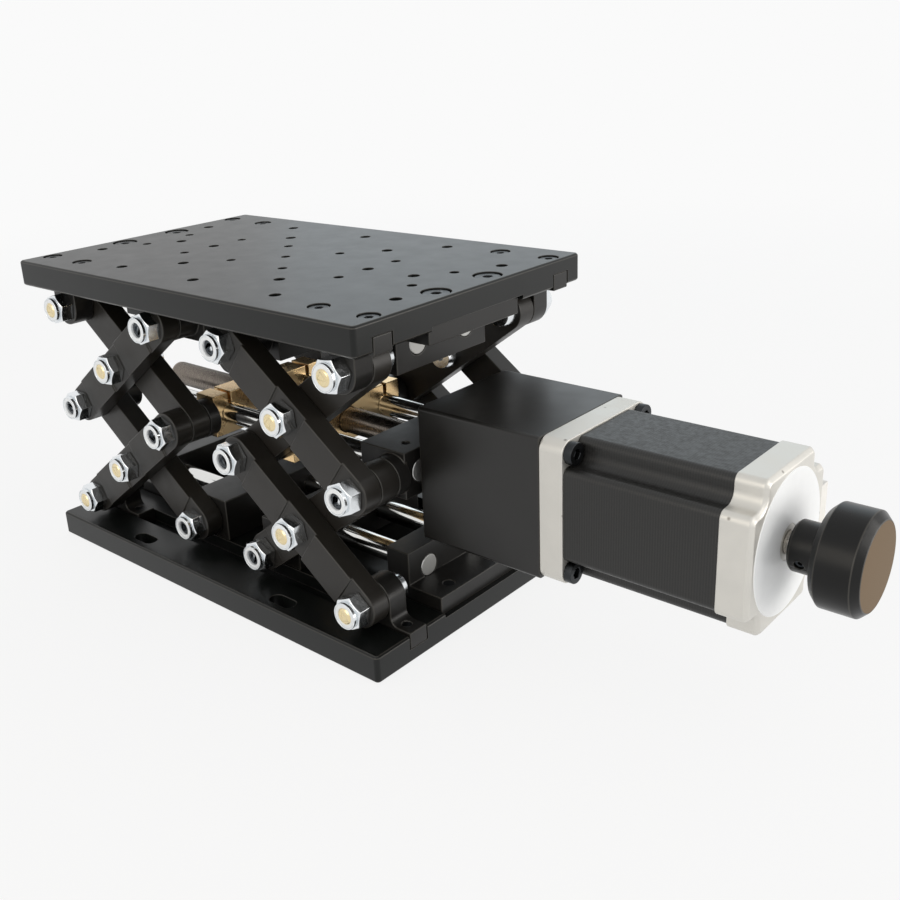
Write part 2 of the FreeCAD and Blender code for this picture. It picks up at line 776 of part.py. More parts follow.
def carriage(name, hand):
    """A brass nut block on the lead screw and both middle rods, slit above each rod."""
    x_low = "(pivot_inner_x - carriage_inner_reach)"
    x_high = "(pivot_inner_x + carriage_outer_reach)"
    top = "pivot_mid + carriage_half_z"
    stock = block(x_low, x_high, "-slider_side", "slider_side",
                  "pivot_mid - carriage_half_z", top)
    long = "carriage_inner_reach + carriage_outer_reach + 2 * overcut"
    tools = [cylinder("lead_screw_radius + rod_gap", long, f"{x_low} - overcut", "0", "pivot_mid", "X")]
    for way, sign in (("-Y", "-"), ("Y", "")):
        tools.append(cylinder("rod_bore", long, f"{x_low} - overcut", f"{sign}mid_rod_y", "pivot_mid", "X"))
        tools.append(cylinder("bolt_radius", "stud_deep + overcut", "pivot_inner_x",
                              f"{sign}(slider_side - stud_deep)", "pivot_mid", way))
        tools.append(block(f"{x_low} - overcut", f"{x_high} + overcut",
                           f"{sign}mid_rod_y - carriage_slot / 2",
                           f"{sign}mid_rod_y + carriage_slot / 2", "pivot_mid", f"{top} + overcut"))
    made = cut(stock, tools)
    if hand < 0:
        made = mirrored(made, ENDWISE)
    return node(made, name)


# Drive

def lead_screw():
    """A screw of two hands between the blocks, with plain journals that run in them."""
    left = "-(mid_block_outer_x - journal_end_in)"
    journal = cylinder("lead_journal_radius", f"coupling_start_x + coupling_grip - ({left})", left, "0",
                       "pivot_mid", "X")
    thread = cylinder("lead_screw_radius", "2 * (mid_block_inner_x - side_gap)",
                      "-(mid_block_inner_x - side_gap)", "0", "pivot_mid", "X")
    return node(fuse([journal, thread]), "lead_screw")


def shaft_coupling():
    """A clamping sleeve with two slits across it, bored for the screw and the motor shaft."""
    sleeve = cylinder("coupling_radius", "coupling_end_x - coupling_start_x", "coupling_start_x",
                      "0", "pivot_mid", "X")
    middle = "(coupling_start_x + coupling_end_x) / 2"
    tools = [cylinder("shaft_radius", "coupling_end_x - coupling_start_x + 2 * overcut",
                      "coupling_start_x - overcut", "0", "pivot_mid", "X")]
    for sign, low, high in (("-", "-coupling_radius - overcut", "coupling_radius / 2"),
                            ("+", "-coupling_radius / 2", "coupling_radius + overcut")):
        x = f"{middle} {sign} coupling_slit_x"
        tools.append(block(x, f"{x} + coupling_slit", low, high,
                           "pivot_mid - coupling_radius - overcut",
                           "pivot_mid + coupling_radius + overcut"))
    return node(cut(sleeve, tools), "shaft_coupling")


def motor_housing():
    """A square case round the coupling, with a spigot that seats on the middle block."""
    low, high = "(pivot_mid - motor_half)", "(pivot_mid + motor_half)"
    body = new_body("motor_housing")
    face = sketch_on(body, "YZ_Plane", "housing_front_x")
    rectangle(face, "-motor_half", "motor_half", low, high)
    pad(body, face, "housing_back_x - housing_front_x")
    doc.recompute()
    along = edges_along(body.Shape, FreeCAD.Vector(1, 0, 0), lambda middle: True)
    round_edges(body, along, "housing_corner")
    inside = sketch_on(body, "YZ_Plane", "housing_back_x")
    rectangle(inside, "-(motor_half - housing_wall)", "motor_half - housing_wall",
              f"{low} + housing_wall", f"{high} - housing_wall")
    pocket(body, inside, "housing_back_x - housing_front_x - housing_wall")
    nose = sketch_on(body, "YZ_Plane", "mid_block_outer_x")
    rectangle(nose, "-spigot_half_y", "spigot_half_y", "pivot_mid - spigot_half_z",
              "pivot_mid + spigot_half_z")
    pad(body, nose, "housing_front_x - mid_block_outer_x")
    doc.recompute()
    bore = sketch_on(body, "YZ_Plane", "mid_block_outer_x")
    circles(bore, [("0", "pivot_mid")], "lead_journal_radius + housing_bore_gap")
    pocket(body, bore, "housing_wall + housing_front_x - mid_block_outer_x + overcut", flip=True)
    return node(body, "motor_housing")


def notched_section(sketch):
    """The square motor section with each corner cut away."""
    notch = [("motor_half", "notch_flat"), ("notch_flat", "notch_flat"),
             ("notch_flat", "motor_half")]
    turned = [
        [(x, z) for x, z in notch],
        [(f"-{x}", z) for x, z in reversed(notch)],
        [(f"-{x}", f"-{z}") for x, z in notch],
        [(x, f"-{z}") for x, z in reversed(notch)],
    ]
    polygon(sketch, [(x, f"{z} + pivot_mid") for part in turned for x, z in part])


def round_notches(body):
    """Rounds the shoulders of the notches and hollows their roots round the screw heads."""
    box = body.Shape.BoundBox
    reach = box.YLength / 2 - SIZES["notch_shoulder"]

    def is_root(middle):
        return max(abs(middle.y), abs(middle.z - box.Center.z)) < reach

    along = FreeCAD.Vector(1, 0, 0)
    shoulders = edges_along(body.Shape, along, lambda middle: not is_root(middle))
    round_edges(body, shoulders, "notch_shoulder")
    round_edges(body, edges_along(body.Shape, along, is_root), "notch_hollow")


def motor_front_bell():
    """The square flange that bolts to the housing."""
    body = new_body("motor_front_bell")
    face = sketch_on(body, "YZ_Plane", "housing_back_x")
    rectangle(face, "-motor_half", "motor_half", "pivot_mid - motor_half",
              "pivot_mid + motor_half")
    pad(body, face, "flange_thick")
    doc.recompute()
    along = edges_along(body.Shape, FreeCAD.Vector(1, 0, 0), lambda middle: True)
    round_edges(body, along, "flange_corner")
    bore = sketch_on(body, "YZ_Plane", "housing_back_x")
    circles(bore, [("0", "pivot_mid")], "shaft_radius + pivot_gap")
    pocket(body, bore)
    holes = sketch_on(body, "YZ_Plane", "housing_back_x")
    circles(holes, [(y, f"{z} + pivot_mid") for y, z in
                    both_signs("flange_screw_y", "flange_screw_y")], "flange_screw_radius + rod_gap")
    pocket(body, holes)
    return node(body, "motor_front_bell")


def motor_section(name, start, end, bore, chamfer=None):
    """A length of the motor's notched body with a round bore."""
    body = new_body(name)
    section = sketch_on(body, "YZ_Plane", start)
    notched_section(section)
    pad(body, section, f"({end}) - ({start})")
    doc.recompute()
    round_notches(body)
    if chamfer:
        faces = [f"Face{n}" for n, face in enumerate(body.Shape.Faces, 1)
                 if face.normalAt(0, 0).x > 0.99]
        round_edges(body, faces, chamfer, "PartDesign::Chamfer")
    hole = sketch_on(body, "YZ_Plane", start)
    circles(hole, [("0", "pivot_mid")], bore)
    pocket(body, hole)
    return node(body, name)


def motor_rotor():
    """The rotor core on its shaft, which runs out of both bells."""
    core = cylinder("rotor_radius", "stator_long - 2 * rotor_inset", "flange_back_x + rotor_inset", "0",
                    "pivot_mid", "X")
    start = "(coupling_start_x + coupling_end_x) / 2"
    shaft = cylinder("shaft_radius", f"knob_end_x - knob_wall - {start}", start, "0", "pivot_mid", "X")
    return node(fuse([core, shaft]), "motor_rotor")


def motor_connector():
    """The closed cable inlet on the far side of the rear bell."""
    out = block("bell_end_x - connector_long", "bell_end_x - bell_chamfer", "motor_half",
                "motor_half + connector_out", "pivot_mid - connector_half_z",
                "pivot_mid + connector_half_z")
    wall, outer = "inlet_wall", "motor_half + connector_out"
    mouth = block(f"bell_end_x - connector_long + {wall}", f"bell_end_x - bell_chamfer - {wall}",
                  f"{outer} - inlet_deep", f"{outer} + overcut",
                  f"pivot_mid - connector_half_z + {wall}",
                  f"pivot_mid + connector_half_z - {wall}")
    return node(cut(out, [mouth]), "motor_connector")


def flange_screws():
    """Four socket screws that hold the motor's flange to the housing."""
    screws = []
    for y, z in both_signs("flange_screw_y", "flange_screw_y"):
        height = f"{z} + pivot_mid"
        head_x = "flange_back_x"
        shank = cylinder("flange_screw_radius", "flange_thick", "housing_back_x", y, height, "X")
        head = cylinder("flange_head_radius", "flange_head_high", head_x, y, height, "X")
        socket = cylinder("flange_head_radius / 2", "flange_head_high / 2 + overcut",
                          f"{head_x} + flange_head_high / 2", y, height, "X")
        screws.append(cut(fuse([shank, head]), [socket]))
    return node(group(screws), "motor_flange_screws")


def knob():
    """A turned hand knob with chamfered edges, and a hub bored for its set screw."""
    body = new_body("knob_turning")
    profile = sketch_on(body, "XZ_Plane")
    edge = "knob_chamfer"
    polygon(profile, [
        ("knob_hub_x", "shaft_radius"),
        ("knob_hub_x", "knob_hub_radius - knob_hub_chamfer"),
        ("knob_hub_x + knob_hub_chamfer", "knob_hub_radius"),
        ("knob_face_x", "knob_hub_radius"),
        ("knob_face_x", f"knob_radius - {edge}"),
        (f"knob_face_x + {edge}", "knob_radius"),
        (f"knob_end_x - {edge}", "knob_radius"),
        ("knob_end_x", f"knob_radius - {edge}"),
        ("knob_end_x", "0"),
        ("knob_end_x - knob_wall", "0"),
        ("knob_end_x - knob_wall", "shaft_radius"),
    ])
    turned = body.newObject("PartDesign::Revolution", "turned")
    turned.Profile = profile
    turned.ReferenceAxis = (profile, ["H_Axis"])
    turned.Angle = 360
    at(body, z="pivot_mid")
    set_screw = cylinder("set_screw_radius", "knob_hub_radius + overcut",
                         "knob_hub_x + set_screw_inset", "0", "pivot_mid", "set screw")
    return node(cut(body, [set_screw]), "knob")


# Screws of the plates

def plate_screws(name, bracket_mid, face, into, foot_end, block_end):
    """Socket screws sunk in the plate that hold the bracket feet and the rod block feet.

    face is the plate's outer face, into the direction of the shanks from it.
    """
    screws = []
    turn = "Z" if into > 0 else "-Z"
    kinds = [(f"(pivot_outer_x {sign} bracket_screw_x)", bracket_mid, "bracket", foot_end)
             for sign in "-+"]
    kinds.append(("block_screw_x", "block_screw_y", "block", block_end))
    for x0, y0, kind, end in kinds:
        for x, y in both_signs(x0, y0):
            bottom = f"({face} + {into} * screw_bore_deep)"
            top = f"({bottom} - {into} * screw_head_high)"
            head = cylinder(f"{kind}_head_radius", "screw_head_high", x, y, top, turn)
            shank = cylinder(f"{kind}_screw_radius", f"abs({end} - {bottom})", x, y, bottom, turn)
            socket = doc.addObject("Part::Prism", "socket")
            socket.Polygon = 6
            bind(socket, Circumradius=f"{kind}_socket_radius", Height="screw_socket_deep")
            at(socket, x, y, top, ALONG[turn])
            screws.append(cut(fuse([head, shank]), [socket]))
    return node(group(screws), name)


def build():
    fill_sheet()
    base_plate()
    top_plate()
    all_links()
    all_pivots()
    foot_low = "(plate_thick - ear_groove_deep)"
    foot_high = "(plate_thick + bracket_foot_rise)"
    hinge_brackets("base_hinge_brackets", "inner_link_y", "rear_mid", "pivot_base",
                   foot_low, foot_high, foot_low)
    top_low = "(top_under - bracket_foot_rise)"
    top_high = "(top_under + ear_groove_deep)"
    hinge_brackets("top_hinge_brackets", "front_in", "front_mid", "pivot_top",
                   top_low, top_high, top_high)
    guide_rods("base_guide_rods", "rod_y", "pivot_base", "block_outer_x")
    guide_rods("middle_guide_rods", "mid_rod_y", "pivot_mid", "mid_block_outer_x")
    guide_rods("top_guide_rods", "rod_y", "pivot_top", "block_outer_x")
    for end, hand in (("right", 1), ("left", -1)):
        rod_block(f"base_rod_block_{end}", hand, "pivot_base", 1)
        rod_block(f"top_rod_block_{end}", hand, "pivot_top", -1)
        slider(f"{end}_base_slider", hand, "pivot_base", "plate_thick + slider_clear",
               "pivot_base + block_over_rod", False)
        slider(f"{end}_top_slider", hand, "pivot_top", "pivot_top - block_over_rod",
               "top_under - slider_clear", True)
        middle_block(f"middle_block_{end}", hand)
        carriage(f"{end}_carriage", hand)
    lead_screw()
    shaft_coupling()
    motor_housing()
    motor_front_bell()
    motor_section("motor_stator", "flange_back_x", "stator_end_x",
                  "rotor_radius + rotor_gap")
    motor_section("motor_rear_bell", "stator_end_x", "bell_end_x", "shaft_radius + pivot_gap",
                  "bell_chamfer")
    motor_rotor()
    motor_connector()
    flange_screws()
    knob()
    plate_screws("base_plate_screws", "rear_mid", "0", 1, foot_high,
                 "(plate_thick - foot_groove_deep + block_foot_thick)")
    plate_screws("top_plate_screws", "front_mid", "(top_under + plate_thick)", -1, top_low,
                 "(top_under + foot_groove_deep - block_foot_thick)")
    doc.recompute()


def check():
    """Stops before writing if anything in the document or a sub-part failed."""
    for item in doc.Objects:
        if "Invalid" in item.State or "Error" in item.State:
            raise RuntimeError(f"{item.Name} {item.Label}: {item.State}")
    for item in nodes:
        if item.Shape.isNull() or not item.Shape.isValid():
            raise RuntimeError(f"{item.Label}: no valid shape")


def write():
    os.makedirs("parts", exist_ok=True)
    for item in nodes:
        item.Shape.exportStep(f"parts/{item.Label}.step")
    print(len(nodes), "sub-parts")


build()
check()
write()
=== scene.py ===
"""A motorized lab jack: two black anodised plates on a double tier of crossed links,
opened by a lead screw in brass carriages, with a stepper motor and a hand knob.

The CAD nodes are shown as copies with broken edges and their real finishes. Geometry Nodes
make the nuts, bolts, screws, spacers, pins and the lead screw's thread. The middle frame is
shown closer to the photograph than the solids are: its right block is shorter, its left
block is two bosses, and the brass carriages are narrower.
"""

import json
import math

import bmesh
import bpy
from mathutils import Matrix, Vector


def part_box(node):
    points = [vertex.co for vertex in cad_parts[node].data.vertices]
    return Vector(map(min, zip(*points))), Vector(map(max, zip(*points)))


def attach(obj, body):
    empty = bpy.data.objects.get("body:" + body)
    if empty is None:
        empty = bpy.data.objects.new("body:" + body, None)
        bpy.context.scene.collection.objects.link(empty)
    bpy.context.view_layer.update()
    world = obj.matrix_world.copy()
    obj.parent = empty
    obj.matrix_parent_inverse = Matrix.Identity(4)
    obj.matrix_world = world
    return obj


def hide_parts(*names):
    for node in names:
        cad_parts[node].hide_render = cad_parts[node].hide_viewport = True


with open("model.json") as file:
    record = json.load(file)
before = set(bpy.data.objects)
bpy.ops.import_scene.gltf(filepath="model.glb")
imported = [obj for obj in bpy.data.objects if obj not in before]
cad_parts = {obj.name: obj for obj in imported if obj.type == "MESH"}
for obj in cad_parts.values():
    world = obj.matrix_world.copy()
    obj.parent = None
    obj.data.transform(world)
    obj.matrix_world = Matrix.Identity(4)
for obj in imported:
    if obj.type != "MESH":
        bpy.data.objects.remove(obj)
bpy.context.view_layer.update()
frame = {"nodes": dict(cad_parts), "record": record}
MM = 0.001
PER_MM = 1000.0
nodes = frame["nodes"]
bodies = frame["record"]["behaviour"]["bodies"]
body_of = {name: body for body, members in bodies.items() for name in members}
slot_of = {row["node"]: row["material_slot"] for row in frame["record"]["subparts"]}


# Camera at the photograph's viewpoint

CAMERA_PLACE = (363.8, -313.8, 239.8)
AZIMUTH, ELEVATION, ROLL = 42.589, 20.065, -3.011
FOCAL_PX, FRAME_PX = 1055.245, 900
PRINCIPAL_PX = (415.612, 412.272)


def make_camera():
    a, e, roll = (math.radians(angle) for angle in (AZIMUTH, ELEVATION, ROLL))
    back = Vector((math.sin(a) * math.cos(e), -math.cos(a) * math.cos(e), math.sin(e)))
    level = Vector((math.cos(a), math.sin(a), 0))
    upward = back.cross(level)
    right = math.cos(roll) * level + math.sin(roll) * upward
    up = math.cos(roll) * upward - math.sin(roll) * level
    data = bpy.data.cameras.new("camera")
    data.sensor_width = 36
    data.lens = data.sensor_width * FOCAL_PX / FRAME_PX
    data.shift_x = 0.5 - PRINCIPAL_PX[0] / FRAME_PX
    data.shift_y = PRINCIPAL_PX[1] / FRAME_PX - 0.5
    camera = bpy.data.objects.new("camera", data)
    turn = Matrix((right, up, back)).transposed().to_4x4()
    camera.matrix_world = Matrix.Translation(Vector(CAMERA_PLACE) * MM) @ turn
    bpy.context.scene.collection.objects.link(camera)
    bpy.context.scene.camera = camera


# Nodes

def colour(code):
    """An sRGB hex colour as linear red, green, blue and alpha."""
    parts = [int(code[k:k + 2], 16) / 255 for k in (1, 3, 5)]
    return [c / 12.92 if c <= 0.04045 else ((c + 0.055) / 1.055) ** 2.4 for c in parts] + [1]


def add(tree, kind, output=0, inputs=None, **settings):
    """Adds a node with its settings, links or sets its inputs and gives back one output."""
    made = tree.nodes.new(kind)
    for name, value in settings.items():
        setattr(made, name, value)
    for name, value in (inputs or {}).items():
        sources = value if isinstance(value, list) else [value]
        if isinstance(sources[0], bpy.types.NodeSocket):
            for source in sources:
                tree.links.new(source, made.inputs[name])
        else:
            made.inputs[name].default_value = value
    return made.outputs[output]


# Materials. Patterns read object coordinates, in metres.

# a wave texture repeats every tau / 20 divided by its scale
WAVE_PER_MM = PER_MM * math.tau / 20


def new_material(name, **fixed):
    """A material with constants on its shader's own sockets, and its object coordinates."""
    made = bpy.data.materials.new(name)
    made.use_nodes = True
    tree = made.node_tree
    shader = tree.nodes["Principled BSDF"]
    for socket, value in fixed.items():
        shader.inputs[socket.replace("_", " ")].default_value = value
    return made, tree, shader, add(tree, "ShaderNodeTexCoord", "Object")


def anodised(name, dark, light, smooth, rough, ior=1.4, blast_mm=0.4):
    """Black anodised aluminium, machined and then lightly blasted.

    The dyed oxide is a dielectric: nearly black seen square on, and a soft mirror of the
    surroundings at a low angle. Handling leaves faint clouds in its gloss.
    """
    made, tree, shader, place = new_material(name, Metallic=0.0, IOR=ior)
    dye = add(tree, "ShaderNodeTexNoise", "Fac", {
        "Vector": place, "Scale": PER_MM / 24, "Detail": 3.0})
    tint = add(tree, "ShaderNodeMix", 2, {
        "Factor": dye, 6: colour(dark), 7: colour(light)}, data_type="RGBA")
    cloud = add(tree, "ShaderNodeTexNoise", "Fac", {
        "Vector": place, "Scale": PER_MM / 11, "Detail": 5.0, "Roughness": 0.6})
    gloss = add(tree, "ShaderNodeMapRange", "Result", {
        "Value": cloud, "From Min": 0.3, "From Max": 0.7, "To Min": smooth, "To Max": rough})
    grit = add(tree, "ShaderNodeTexNoise", "Fac", {
        "Vector": place, "Scale": PER_MM / blast_mm, "Detail": 2.0})
    relief = add(tree, "ShaderNodeBump", "Normal", {
        "Height": grit, "Distance": 0.008 * MM, "Strength": 0.8})
    tree.links.new(tint, shader.inputs["Base Color"])
    tree.links.new(gloss, shader.inputs["Roughness"])
    tree.links.new(relief, shader.inputs["Normal"])
    return made


def ground_steel(name, base, smooth, rough, stretch):
    """Ground or chromed steel: a bright mirror with hair-fine scratches along one axis."""
    made, tree, shader, place = new_material(name, Metallic=1.0, Base_Color=colour(base))
    drawn = add(tree, "ShaderNodeMapping", 0, {"Vector": place, "Scale": stretch})
    grain = add(tree, "ShaderNodeTexNoise", "Fac", {
        "Vector": drawn, "Scale": PER_MM / 0.6, "Detail": 4.0})
    gloss = add(tree, "ShaderNodeMapRange", "Result", {
        "Value": grain, "From Min": 0.3, "From Max": 0.7, "To Min": smooth, "To Max": rough})
    relief = add(tree, "ShaderNodeBump", "Normal", {
        "Height": grain, "Distance": 0.003 * MM, "Strength": 0.6})
    tree.links.new(gloss, shader.inputs["Roughness"])
    tree.links.new(relief, shader.inputs["Normal"])
    return made


def milled_brass(name):
    """Brass as it leaves the cutter: golden, with tool marks 0.8 mm apart and duller patches."""
    made, tree, shader, place = new_material(name, Metallic=1.0)
    patch = add(tree, "ShaderNodeTexNoise", "Fac", {
        "Vector": place, "Scale": PER_MM / 12, "Detail": 4.0})
    tint = add(tree, "ShaderNodeMix", 2, {
        "Factor": patch, 6: colour("#dab27c"), 7: colour("#f2daac")}, data_type="RGBA")
    marks = add(tree, "ShaderNodeTexWave", "Fac", {
        "Vector": place, "Scale": WAVE_PER_MM / 0.8, "Distortion": 1.2, "Detail": 2.0,
        "Detail Scale": 1.5}, bands_direction="X")
    gloss = add(tree, "ShaderNodeMapRange", "Result", {
        "Value": patch, "From Min": 0.3, "From Max": 0.7, "To Min": 0.2, "To Max": 0.36})
    relief = add(tree, "ShaderNodeBump", "Normal", {
        "Height": marks, "Distance": 0.01 * MM, "Strength": 0.5})
    tree.links.new(tint, shader.inputs["Base Color"])
    tree.links.new(gloss, shader.inputs["Roughness"])
    tree.links.new(relief, shader.inputs["Normal"])
    return made


def plated_steel(name, low, high, smooth, rough):
    """Zinc plated or oiled steel: bright, with the small clouds of the bath."""
    made, tree, shader, place = new_material(name, Metallic=1.0)
    cloud = add(tree, "ShaderNodeTexNoise", "Fac", {
        "Vector": place, "Scale": PER_MM / 2.4, "Detail": 3.0})
    tint = add(tree, "ShaderNodeMix", 2, {
        "Factor": cloud, 6: colour(low), 7: colour(high)}, data_type="RGBA")
    gloss = add(tree, "ShaderNodeMapRange", "Result", {
        "Value": cloud, "From Min": 0.3, "From Max": 0.7, "To Min": smooth, "To Max": rough})
    relief = add(tree, "ShaderNodeBump", "Normal", {
        "Height": cloud, "Distance": 0.02 * MM, "Strength": 0.4})
    tree.links.new(tint, shader.inputs["Base Color"])
    tree.links.new(gloss, shader.inputs["Roughness"])
    tree.links.new(relief, shader.inputs["Normal"])
    return made


def laminated_stack(name):
    """A black painted stack of 0.5 mm sheets, drawn 1 mm thick so that they show.

    The paint is thin at the sheets' edges, so they catch the light as fine lines.
    """
    made, tree, shader, place = new_material(name, Metallic=0.0, IOR=1.48)
    sheets = add(tree, "ShaderNodeTexWave", "Fac", {
        "Vector": place, "Scale": WAVE_PER_MM / 1.0, "Distortion": 0.0}, bands_direction="X")
    speckle = add(tree, "ShaderNodeTexNoise", "Fac", {
        "Vector": place, "Scale": PER_MM / 1.6, "Detail": 4.0})
    lines = add(tree, "ShaderNodeMath", 0, {0: sheets, 1: speckle}, operation="MULTIPLY")
    tint = add(tree, "ShaderNodeMix", 2, {
        "Factor": lines, 6: colour("#131312"), 7: colour("#272624")}, data_type="RGBA")
    gloss = add(tree, "ShaderNodeMapRange", "Result", {
        "Value": speckle, "From Min": 0.3, "From Max": 0.7, "To Min": 0.34, "To Max": 0.5})
    relief = add(tree, "ShaderNodeBump", "Normal", {
        "Height": lines, "Distance": 0.04 * MM, "Strength": 0.6})
    tree.links.new(tint, shader.inputs["Base Color"])
    tree.links.new(gloss, shader.inputs["Roughness"])
    tree.links.new(relief, shader.inputs["Normal"])
    return made


def cast_aluminium(name):
    """A blasted die casting: pale and even, with a few small dark pits 1 mm across."""
    made, tree, shader, place = new_material(name, Metallic=0.6)
    cells = add(tree, "ShaderNodeTexVoronoi", "Distance", {
        "Vector": place, "Scale": PER_MM / 9, "Randomness": 1.0})
    pits = add(tree, "ShaderNodeMapRange", "Result", {
        "Value": cells, "From Min": 0.03, "From Max": 0.09, "To Min": 1.0, "To Max": 0.0})
    patch = add(tree, "ShaderNodeTexNoise", "Fac", {
        "Vector": place, "Scale": PER_MM / 8, "Detail": 5.0})
    tint = add(tree, "ShaderNodeMix", 2, {
        "Factor": patch, 6: colour("#c9c7c1"), 7: colour("#d8d6d0")}, data_type="RGBA")
    pitted = add(tree, "ShaderNodeMix", 2, {
        "Factor": pits, 6: tint, 7: colour("#8d8a84")}, data_type="RGBA")
    grit = add(tree, "ShaderNodeTexNoise", "Fac", {
        "Vector": place, "Scale": PER_MM / 0.6, "Detail": 3.0})
    height = add(tree, "ShaderNodeMath", 0, {0: grit, 1: pits}, operation="SUBTRACT")
    gloss = add(tree, "ShaderNodeMapRange", "Result", {
        "Value": patch, "From Min": 0.3, "From Max": 0.7, "To Min": 0.36, "To Max": 0.52})
    relief = add(tree, "ShaderNodeBump", "Normal", {
        "Height": height, "Distance": 0.03 * MM, "Strength": 0.5})
    tree.links.new(pitted, shader.inputs["Base Color"])
    tree.links.new(gloss, shader.inputs["Roughness"])
    tree.links.new(relief, shader.inputs["Normal"])
    return made


def turned_face(name, base, axis_z):
    """The turned end of the knob, in rings 0.7 mm apart, with a painted reflection.

    Its brown base colour is a painted reflection of warm surroundings. It stays brown at a low
    angle, where bare metal would turn white.
    """
    made, tree, shader, place = new_material(name, Metallic=1.0, Base_Color=colour(base),
                                             Specular_Tint=colour("#fbf6ed"))
    centred = add(tree, "ShaderNodeMapping", 0, {"Vector": place, "Location": (0, 0, -axis_z)})
    rings = add(tree, "ShaderNodeTexWave", "Fac", {
        "Vector": centred, "Scale": WAVE_PER_MM / 0.7, "Distortion": 0.3},
        wave_type="RINGS", rings_direction="X")
    gloss = add(tree, "ShaderNodeMapRange", "Result", {
        "Value": rings, "To Min": 0.3, "To Max": 0.42})
    relief = add(tree, "ShaderNodeBump", "Normal", {
        "Height": rings, "Distance": 0.003 * MM, "Strength": 0.5})
    tree.links.new(gloss, shader.inputs["Roughness"])
    tree.links.new(relief, shader.inputs["Normal"])
    return made


def moulded(name, low, high, roughness):
    """Moulded plastic or nylon: even, with a faint skin texture 0.4 mm across."""
    made, tree, shader, place = new_material(name, IOR=1.5, Roughness=roughness)
    patch = add(tree, "ShaderNodeTexNoise", "Fac", {
        "Vector": place, "Scale": PER_MM / 3, "Detail": 3.0})
    tint = add(tree, "ShaderNodeMix", 2, {
        "Factor": patch, 6: colour(low), 7: colour(high)}, data_type="RGBA")
    skin = add(tree, "ShaderNodeTexNoise", "Fac", {
        "Vector": place, "Scale": PER_MM / 0.4, "Detail": 2.0})
    relief = add(tree, "ShaderNodeBump", "Normal", {
        "Height": skin, "Distance": 0.006 * MM, "Strength": 0.5})
    tree.links.new(tint, shader.inputs["Base Color"])
    tree.links.new(relief, shader.inputs["Normal"])
    return made


MOTOR_AXIS_Z = sum(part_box("knob")[k][2] for k in (0, 1)) / 2
FINISHES = {
    "plate_anodised": anodised("plate_anodised", "#0b0d0c", "#0f1110", 0.31, 0.35, ior=1.36),
    "link_anodised": anodised("link_anodised", "#1a1815", "#24211d", 0.34, 0.46),
    "block_anodised": anodised("block_anodised", "#141312", "#1b1a18", 0.3, 0.42),
    "housing_anodised": anodised("housing_anodised", "#100f0d", "#161513", 0.3, 0.36, ior=1.48),
    "knob_anodised": anodised("knob_anodised", "#090909", "#0e0e0d", 0.26, 0.34, ior=1.33),
    "rod_chrome": ground_steel("rod_chrome", "#e2e2e0", 0.06, 0.14, (1, 8, 8)),
    "shaft_steel": ground_steel("shaft_steel", "#b3afa8", 0.2, 0.34, (8, 1, 1)),
    "zinc_steel": plated_steel("zinc_steel", "#dfe3e6", "#eef1f3", 0.14, 0.26),
    "black_screw_steel": plated_steel("black_screw_steel", "#2d2f31", "#3d3f41", 0.3, 0.42),
    "carriage_brass": milled_brass("carriage_brass"),
    "stator_black": laminated_stack("stator_black"),
    "bell_cast": cast_aluminium("bell_cast"),
    "connector_plastic": moulded("connector_plastic", "#dcdad4", "#e9e7e2", 0.5),
}
# lighter oxide for the broken edges: partly rubbed thin, partly a painted highlight
RUBBED_EDGE_AND_HIGHLIGHT = anodised("rubbed_edge", "#2b2a27", "#3a3834", 0.28, 0.4)
YELLOW_ZINC = plated_steel("yellow_zinc", "#e0cc9c", "#efe0ba", 0.22, 0.34)
STUD_STEEL = plated_steel("stud_steel", "#3a3e42", "#53575b", 0.28, 0.42)
NYLON = moulded("nylon", "#e6eaee", "#f2f5f7", 0.36)
BLANK_LABEL = moulded("blank_label", "#eceeef", "#f3f5f6", 0.32)
# the knob's end: its brown base colour is a painted reflection of warm surroundings
KNOB_FACE_PAINTED_REFLECTION = turned_face("knob_face_turned", "#644b2c", MOTOR_AXIS_Z)
SCREW_STEEL = ground_steel("screw_steel", "#8d847b", 0.22, 0.34, (6, 1, 1))
SAWN_END = ground_steel("sawn_end", "#aeaeac", 0.5, 0.62, (1, 3, 3))
GOLD_PIN = plated_steel("gold_pin", "#e8c069", "#f1d083", 0.15, 0.25)


# Geometry Nodes: what repeats or follows a rule

def new_tree(name, **inputs):
    """An empty tree with a points input, a named input for each size or finish, and its ends."""
    tree = bpy.data.node_groups.new(name, "GeometryNodeTree")
    tree.interface.new_socket("Points", in_out="INPUT", socket_type="NodeSocketGeometry")
    for label, kind in inputs.items():
        tree.interface.new_socket(label.replace("_", " "), in_out="INPUT",
                                  socket_type=f"NodeSocket{kind}")
    tree.interface.new_socket("Mesh", in_out="OUTPUT", socket_type="NodeSocketGeometry")
    return tree, tree.nodes.new("NodeGroupInput").outputs, tree.nodes.new("NodeGroupOutput")


def scattered(tree, given, end, form):
    """Puts the form on each point, turned as the point says and spun at random on its axis."""
    turn = add(tree, "GeometryNodeInputNamedAttribute", 0, {"Name": "turn"},
               data_type="FLOAT_VECTOR")
    placed = add(tree, "GeometryNodeInstanceOnPoints", 0, {
        "Points": given["Points"], "Instance": form, "Rotation": turn})
    spin = add(tree, "FunctionNodeRandomValue", 1, {
        2: 0.0, 3: 2 * math.pi, "Seed": given["Seed"]}, data_type="FLOAT")
    about = add(tree, "ShaderNodeCombineXYZ", 0, {"Z": spin})
    spun = add(tree, "GeometryNodeRotateInstances", 0, {
        "Instances": placed, "Rotation": about, "Local Space": True})
    solid = add(tree, "GeometryNodeRealizeInstances", 0, {"Geometry": spun})
    tree.links.new(solid, end.inputs["Mesh"])


